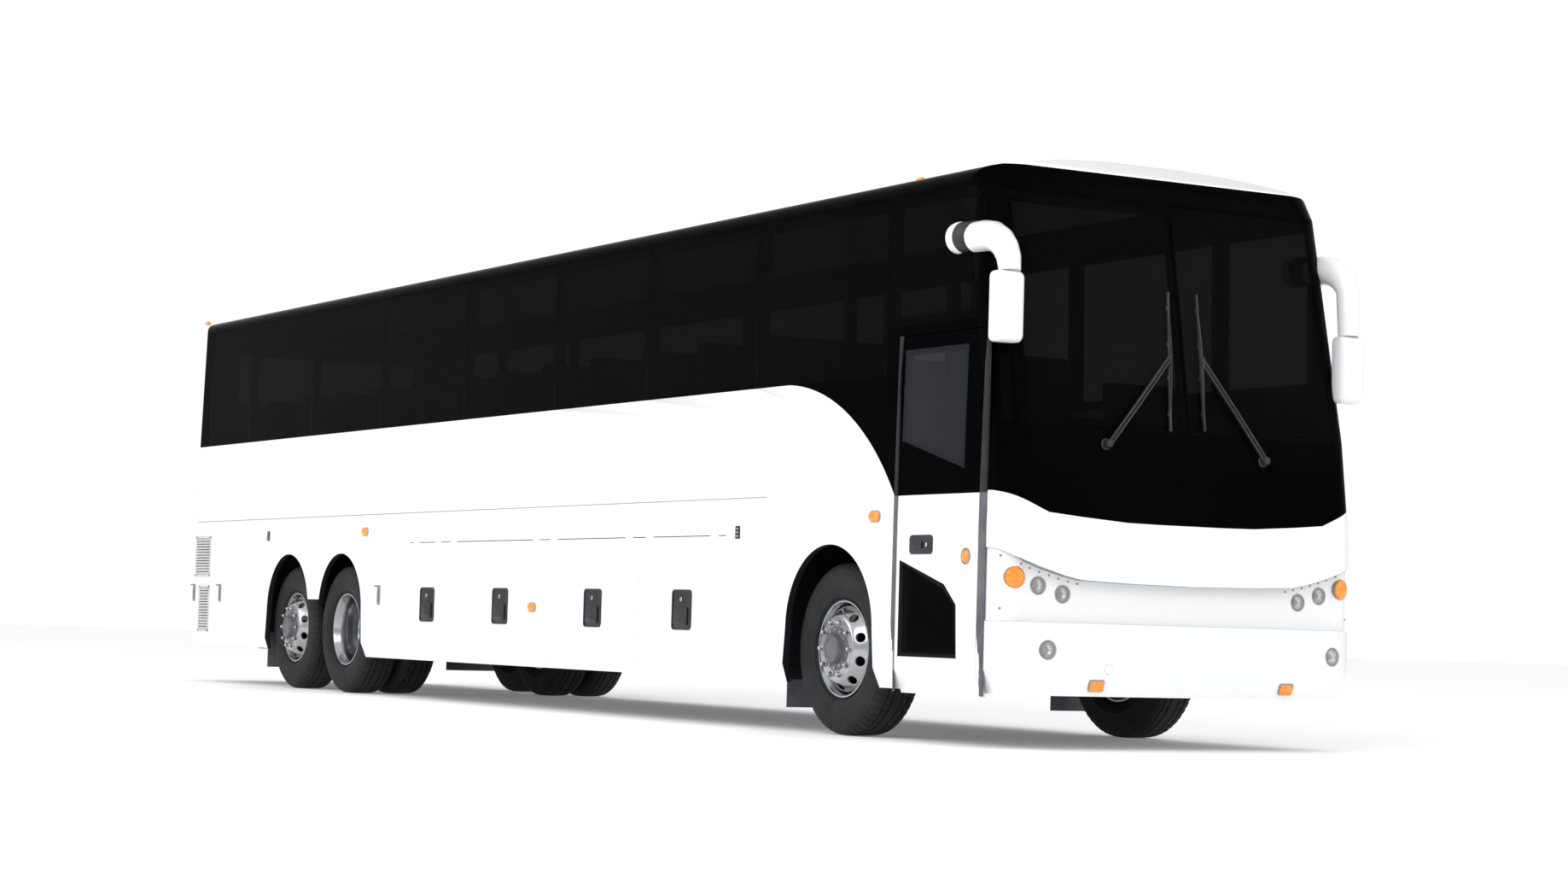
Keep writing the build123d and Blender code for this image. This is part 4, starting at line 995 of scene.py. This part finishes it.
PANEL_MESH = mesh_from("lamp_panel", lambda bm: nose_strip(
    bm, lambda y: PANEL_FOOT_Z, lambda y: edge_at(LAMP_EDGE, y) + 0.003, PANEL_RECESS, PANEL_RECESS + PANEL_WALL, 6))
PANEL_SKIN = BVHTree.FromPolygons([v.co.copy() for v in PANEL_MESH.vertices],
                                  [list(poly.vertices) for poly in PANEL_MESH.polygons])


def lamp_seat(y, z):
    """Middle and normal of a lamp on the lamp panel."""
    place = on_front(PANEL_SKIN, y, z)[0]
    lean = sum((on_front(PANEL_SKIN, y + step, z)[1] for step in (-0.03, 0.0, 0.03)), Vector()).normalized()
    return place, (lean + Vector((0.2, 0, 0))).normalized()


def make_lamp_panel():
    """White panel behind the mask's curved lower edge, with holes for the head lamps."""
    panel = bpy.data.objects.new("lamp_panel", PANEL_MESH)
    bpy.context.collection.objects.link(panel)
    cutters = []
    for out in (RIGHT, LEFT):
        for y, z, _ in HEAD_LAMPS:
            place, normal = lamp_seat(out * y, z)
            mesh = mesh_from("hole", lambda bm: revolve(bm, [(-0.03, 0.0), (-0.03, 0.049), (0.03, 0.049), (0.03, 0.0)],
                                                        place, normal, 48))
            cutter = bpy.data.objects.new("hole", mesh)
            bpy.context.collection.objects.link(cutter)
            cutters.append(cutter)
            hole = panel.modifiers.new("hole", "BOOLEAN")
            hole.operation, hole.object, hole.solver = "DIFFERENCE", cutter, "EXACT"
    made = bpy.data.meshes.new_from_object(panel.evaluated_get(bpy.context.evaluated_depsgraph_get()))
    for thing in (panel, *cutters):
        bpy.data.objects.remove(thing)
    made.name = "lamp_panel"
    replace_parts(piece("lamp_panel", smooth(made, 30), "coach_body", SLOT_OF["lamp_band"], WHITE), "lamp_band")

    # Grey strip along the mask's lower edge, from its face back to the panel: a painted shadow line under the overhang.
    def edge(bm):
        nose_strip(bm, lambda y: edge_at(LAMP_EDGE, y) - 0.0015, lambda y: edge_at(LAMP_EDGE, y) + 0.0015,
                   -0.0004, PANEL_RECESS + 0.002)
    built("mask_edge", edge, "coach_body", "white_paint", GREY, degrees=30)


def make_front_lamps():
    def build(bm):
        for out in (RIGHT, LEFT):
            for y, z, r in HEAD_LAMPS:
                lamp_unit(bm, *lamp_seat(out * y, z), r, 3)
            y, z, r = FOG_LAMP
            lamp_unit(bm, *hollow_front(out * y, z, r), r, 3)
            y, z, r = TURN_LAMP
            place, normal = lamp_seat(out * y, z)
            dome(bm, place, normal, r, 0.022, 0.001, 4, 4)
            revolve(bm, [(-0.030, 0.0), (-0.030, 0.063), (0.0, 0.063)], place, normal, 32, 0)
    made = built("lamp_units", build, "coach_body", "lamp_lens",
                 GREY, REFLECTOR, PLASTIC, LENS_CLEAR, AMBER)
    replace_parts(made, "front_lamps")


def hollow_front(y, z, r):
    """Middle and normal of a lamp's hole, from the panel round it."""
    hits = [on_front(FRONT_SKIN, y + (r + 0.012) * math.cos(a), z + (r + 0.012) * math.sin(a))
            for a in [math.pi * k / 4 + math.pi / 8 for k in range(8)]]
    middle = sum((hit for hit, _ in hits), Vector()) / 8
    a = (hits[0][0] + hits[7][0]) / 2 - (hits[3][0] + hits[4][0]) / 2
    b = (hits[1][0] + hits[2][0]) / 2 - (hits[5][0] + hits[6][0]) / 2
    normal = a.cross(b).normalized()
    return middle, (normal if normal.x > 0 else -normal)


STUDS = [(y, edge_at(LAMP_EDGE, y) - 0.020) for y in (1.150, 1.085, 1.020, 0.955, 0.890, 0.825, 0.760)]


TOW_Y, TOW_Z = -0.62, 0.47


def make_front_trim():
    def studs(bm):
        for out in (RIGHT, LEFT):
            for y, z in STUDS:
                place, normal = on_front(PANEL_SKIN, out * y, z)
                revolve(bm, [(-0.002, 0.0065), (0.002, 0.0065), (0.0035, 0.005), (0.004, 0.0)], place, normal, 12)
            for z in (1.100, 0.800):
                place, normal = on_front(PANEL_SKIN, out * 1.262, z)
                revolve(bm, [(-0.002, 0.008), (0.003, 0.008), (0.005, 0.005), (0.0055, 0.0)], place, normal, 12)
    built("panel_screws", studs, "coach_body", "black_plastic", GREY)

    def cover(bm):
        place = on_front(FRONT_SKIN, TOW_Y, TOW_Z + 0.045)[0]
        revolve(bm, [(-0.012, 0.0), (-0.012, 0.0285), (0.001, 0.0285), (0.0025, 0.027), (0.0025, 0.0)],
                (place.x, TOW_Y, TOW_Z), (1, 0, 0), 48)
    built("tow_socket_cover", cover, "coach_body", "white_paint", WHITE)



# ---- wipers ----
WIPERS = [
    dict(foot=(-0.146, 1.865), head=(-0.075, 2.700), knuckle=(-0.120, 2.296), pivot=(-0.600, 1.765)),
    dict(foot=(0.105, 1.880), head=(0.134, 2.700), knuckle=(0.130, 2.289), pivot=(0.545, 1.722)),
]


def make_wipers():
    def build(bm):
        for wiper in WIPERS:
            def off(key, out, dy=0.0, dz=0.0):
                y, z = wiper[key]
                place, _ = on_front(FRONT_SKIN, y + dy, z + dz)
                return place + Vector((out, 0, 0))

            foot, head, knuckle = off("foot", 0.010), off("head", 0.010), off("knuckle", 0.034)
            along = (head - foot).normalized()
            tube(bm, [foot, head], 0.0065, 8, 1)
            tube(bm, [foot + Vector((0.010, 0, 0)), head + Vector((0.010, 0, 0))], 0.0080, 8, 0)
            for share in (0.12, 0.38, 0.62, 0.88):
                grip = foot + (head - foot) * share
                tube(bm, [grip - along * 0.012, grip + along * 0.012], 0.0125, 8, 0)
            bow = [foot + (head - foot) * t + Vector((0.010 + 0.020 * math.sin(math.pi * (t - 0.12) / 0.76), 0, 0))
                   for t in (0.12, 0.25, 0.38, 0.5, 0.62, 0.75, 0.88)]
            tube(bm, bow, 0.0055, 8, 0)
            pivot = off("pivot", 0.040)
            lift = Vector((0, 0, 0.030))
            for shift in (lift * 0.55, lift * -0.55):
                tube(bm, [pivot + shift, (pivot + knuckle) / 2 + shift + Vector((0.006, 0, 0)), knuckle + shift],
                     0.0080, 10, 0)
            tube(bm, [knuckle - lift, knuckle + lift], 0.011, 10, 0)
            tube(bm, [knuckle, knuckle - Vector((0.018, 0, 0))], 0.010, 10, 0)
            base, normal = on_front(FRONT_SKIN, *wiper["pivot"])
            revolve(bm, [(-0.010, 0.034), (0.008, 0.034), (0.014, 0.028), (0.044, 0.026), (0.052, 0.020), (0.054, 0.0)],
                    base, normal, 28, 0)
    made = built("wiper_sets", build, "coach_body", "black_plastic", WIPER_BLACK, RUBBER)
    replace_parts(made, "wipers")


# ---- mirrors ----
ARM_Y, ARM_Z = 1.250, 2.960
HEAD_X, HEAD_Y, HEAD_Z, GLASS_X = 6.748, 1.260, 2.520, 6.690
DROP = {RIGHT: 0.0, LEFT: 0.200}                  # the driver's side hangs lower
ARM = [(6.400, 2.950, 0.091), (6.500, 2.950, 0.090), (6.580, 2.938, 0.088), (6.650, 2.905, 0.083),
       (6.700, 2.860, 0.077), (6.735, 2.800, 0.071), (6.748, 2.725, 0.064)]
HEAD_WIDTH, HEAD_HEIGHT = 0.190, 0.410
HEAD_STEPS = [(-0.060, 0.014), (-0.056, 0.005), (-0.046, 0.0), (0.015, 0.0), (0.036, 0.008), (0.052, 0.024),
              (0.060, 0.046)]                      # along the coach, how much narrower all round


def make_mirrors():
    """Shell, arm and collar in place of the CAD ones, with the glasses behind."""
    def shells(bm):
        for out in SIDES.values():
            root = (6.215, out * ARM_Y, ARM_Z)
            revolve(bm, [(-0.012, 0.0), (-0.012, 0.092), (0.0, 0.092), (0.012, 0.097), (0.046, 0.096), (0.054, 0.090),
                         (0.054, 0.0)], root, (1, 0, 0), 48, 0)
            revolve(bm, [(0.054, 0.0), (0.054, 0.088), (0.060, 0.093), (0.188, 0.089), (0.194, 0.084), (0.194, 0.0)],
                    root, (1, 0, 0), 48, 1)
            drop = DROP[out]
            line = [*ARM[:-1], (*ARM[-1][:1], ARM[-1][1] - drop, ARM[-1][2])]
            tube(bm, [(x, out * ARM_Y, z) for x, z, _ in line], [r for *_, r in line], 32, 0)
            loops = []
            for depth, less in HEAD_STEPS:
                loop = rounded(-HEAD_WIDTH / 2 + less, HEAD_WIDTH / 2 - less, -HEAD_HEIGHT / 2 + less,
                               HEAD_HEIGHT / 2 - less, 0.034)
                loops.append([bm.verts.new((HEAD_X + depth, out * HEAD_Y + u, HEAD_Z - drop + v)) for u, v in loop])
            bm.faces.new(loops[0])
            bm.faces.new(loops[-1])
            for low, high in zip(loops, loops[1:]):
                bridge(bm, low, high)
    made = built("mirror_shells", shells, "coach_body", SLOT_OF["mirrors"],
                 WHITE, PLASTIC, degrees=40)
    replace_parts(made, "mirrors")

    def glasses(bm):
        for out in SIDES.values():
            drop = DROP[out]
            for z, height in ((2.590, 0.215), (2.410, 0.125)):
                plate(bm, (GLASS_X, out * HEAD_Y, z - drop), (-1, 0, 0), 0.150, height, 0.020, 0.006, 0.001, 1, 0.004)
            plate(bm, (GLASS_X, out * HEAD_Y, HEAD_Z - drop), (-1, 0, 0), 0.168, 0.376, 0.028, 0.004, 0.001, 0, 0.004)
    built("mirror_glasses", glasses, "coach_body", "black_plastic", PLASTIC, SILVER)


# =========================================================================
# roof and rear
# =========================================================================
def make_roof():
    def build(bm):
        for x in (-4.4, 1.6):
            plate(bm, (x, 0, 3.494), (0, 0, 1), 0.74, 0.74, 0.07, 0.030, 0.012)
            plate(bm, (x, 0, 3.524), (0, 0, 1), 0.62, 0.62, 0.06, 0.010, 0.006, sink=0.0)
    built("roof_hatches", build, "coach_body", "white_paint", WHITE)

    def aerial(bm):
        revolve(bm, [(-0.02, 0.0), (-0.02, 0.030), (0.006, 0.030), (0.014, 0.018), (0.030, 0.010)],
                (-2.19, -0.50, 3.474), (0, 0, 1), 24)
        tube(bm, [(-2.19, -0.50, 3.500), (-2.20, -0.50, 3.540)], [0.004, 0.003], 8)
    built("aerial", aerial, "coach_body", "black_plastic", PLASTIC)


LOUVRES = [(-6.763, -6.358, 0.974, 1.352, 13), (-6.639, -6.355, 0.462, 0.891, 15)]


def make_louvres():
    """Slatted air grilles in the rear corners of both sides: pale leaning slats before a dark plate, the plate painted
    shade of the openings behind them.
    """
    for side, out in SIDES.items():
        def grille(bm):
            for x0, x1, z0, z1, count in LOUVRES:
                # Dark plate behind the slats: painted shade of the grille's openings.
                plate(bm, ((x0 + x1) / 2, out * HALF_WIDTH, (z0 + z1) / 2), (0, out, 0), x1 - x0 - 0.030,
                      z1 - z0 - 0.030, 0.010, 0.002, 0.001, 1)
                for low, high in (((x0, z0), (x0 + 0.022, z1)), ((x1 - 0.022, z0), (x1, z1)),
                                  ((x0, z0), (x1, z0 + 0.022)), ((x0, z1 - 0.022), (x1, z1))):
                    plate(bm, ((low[0] + high[0]) / 2, out * HALF_WIDTH, (low[1] + high[1]) / 2), (0, out, 0),
                          high[0] - low[0], high[1] - low[1], 0.004, 0.006, 0.002)
                pitch = (z1 - z0 - 0.044) / count
                for k in range(count):
                    z = z0 + 0.022 + k * pitch
                    slab(bm, [(x0 + 0.020, out * (HALF_WIDTH + rise), z + up * pitch) for rise, up in
                              ((0.001, 0.30), (0.007, 0.12), (0.008, 0.18), (0.002, 0.80))], (x1 - x0 - 0.040, 0, 0))
        built(f"air_grilles_{side}", grille, "coach_body", "white_paint", GREY_WHITE, PLASTIC)


def make_rear():
    def slat(bm):
        slab(bm, [(0.0, -0.62, 0.0), (-0.010, -0.62, -0.004), (-0.012, -0.62, -0.026), (0.0, -0.62, -0.030)],
             (0, 1.24, 0))
    x = -6.919
    slats = repeated("slats", ROW, slat, None, Count=11, Start=(x, 0.0, 1.340), Step=(0.0, 0.0, -0.045), Finish=PLASTIC)
    piece("engine_grille", slats, "engine_door", "black_plastic")

    # Black plates on the engine door's recesses: painted shade of the recesses.
    def recess_shade_plates(bm):
        plate(bm, (x, 0, 0.700), (-1, 0, 0), 0.560, 0.160, 0.012, 0.006)
        plate(bm, (x, -0.70, 0.700), (-1, 0, 0), 0.120, 0.060, 0.012, 0.012, 0.004)
        plate(bm, (x, 0.70, 0.700), (-1, 0, 0), 0.120, 0.060, 0.012, 0.012, 0.004)
    built("engine_door_trim", recess_shade_plates, "engine_door", "black_plastic", PLASTIC)

    def lamps(bm):
        for out in (RIGHT, LEFT):
            for z in (1.560, 1.700, 1.840):
                dome(bm, (-6.919, out * 1.080, z), (-1, 0, 0), 0.060, 0.014, 0.005, 0, 1)
    made = built("tail_lamps", lamps, "coach_body", "red_lens", FINISHES["red_lens"], GREY)
    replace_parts(made, "rear_lamps")


make_wheels()
make_side_fittings()
make_marker_lamps()
make_door_fittings()
make_lamp_panel()
make_front_lamps()
make_front_trim()
make_wipers()
make_mirrors()
make_roof()
make_louvres()
make_rear()


def stage():
    """Pale floor and soft lights."""
    bpy.ops.mesh.primitive_plane_add(size=160, location=(0, 0, 0))
    floor = bpy.context.object
    floor.name = "studio_floor"
    made, tree, shader, place = finish_of("pale_floor", Roughness=0.9, Specular_IOR_Level=0.1)
    shader.inputs["Base Color"].default_value = linear("#F4F4F4")
    shader.inputs["Emission Color"].default_value = (1.0, 1.0, 1.0, 1.0)
    shader.inputs["Emission Strength"].default_value = 0.16
    floor.data.materials.append(made)
    world = bpy.data.worlds.new("studio")
    bpy.context.scene.world = world
    world.use_nodes = True
    tree = world.node_tree
    tree.nodes.clear()
    seen = add(tree, "ShaderNodeBackground", Color=(1.0, 1.0, 1.0, 1.0), Strength=1.05)
    height = add(tree, "ShaderNodeSeparateXYZ", Vector=add(tree, "ShaderNodeTexCoord").outputs["Generated"])
    sky = add(tree, "ShaderNodeMapRange", Value=height.outputs["Z"], From_Min=-0.15, From_Max=0.9, To_Min=0.50,
              To_Max=1.00)
    around = add(tree, "ShaderNodeBackground", Color=(1.0, 1.0, 1.0, 1.0), Strength=sky.outputs["Result"])
    rays = add(tree, "ShaderNodeLightPath")
    mixed = add(tree, "ShaderNodeMixShader", i0=rays.outputs["Is Camera Ray"], i1=around.outputs[0],
                i2=seen.outputs[0])
    add(tree, "ShaderNodeOutputWorld", Surface=mixed.outputs[0])
    bpy.context.scene.view_settings.view_transform = "Standard"
    for name, place, size, power in (("key", (16, -16, 14), 12, 1300), ("fill", (18, 10, 10), 10, 500),
                                     ("side", (-4, -18, 10), 14, 1100)):
        lamp = bpy.data.lights.new(name, "AREA")
        lamp.size = size
        lamp.energy = power
        thing = bpy.data.objects.new(name, lamp)
        thing.location = place
        thing.rotation_euler = (Vector((0, 0, 1.5)) - Vector(place)).to_track_quat("-Z", "Y").to_euler()
        bpy.context.collection.objects.link(thing)


def camera():
    yaw, pitch, roll = (math.radians(a) for a in (CAMERA_YAW, CAMERA_PITCH, CAMERA_ROLL))
    ahead = Vector((math.cos(yaw) * math.cos(pitch), math.sin(yaw) * math.cos(pitch), math.sin(pitch)))
    level = Vector((math.sin(yaw), -math.cos(yaw), 0))
    upright = level.cross(ahead)
    across = math.cos(roll) * level + math.sin(roll) * upright
    up = -math.sin(roll) * level + math.cos(roll) * upright
    turn = Matrix((across, up, -ahead)).transposed()
    lens = bpy.data.cameras.new("camera")
    lens.lens, lens.sensor_width, lens.sensor_fit = LENS, SENSOR, "HORIZONTAL"
    lens.clip_end = 300
    thing = bpy.data.objects.new("camera", lens)
    thing.matrix_world = Matrix.Translation(CAMERA_PLACE) @ turn.to_4x4()
    bpy.context.collection.objects.link(thing)
    bpy.context.scene.camera = thing


stage()
camera()
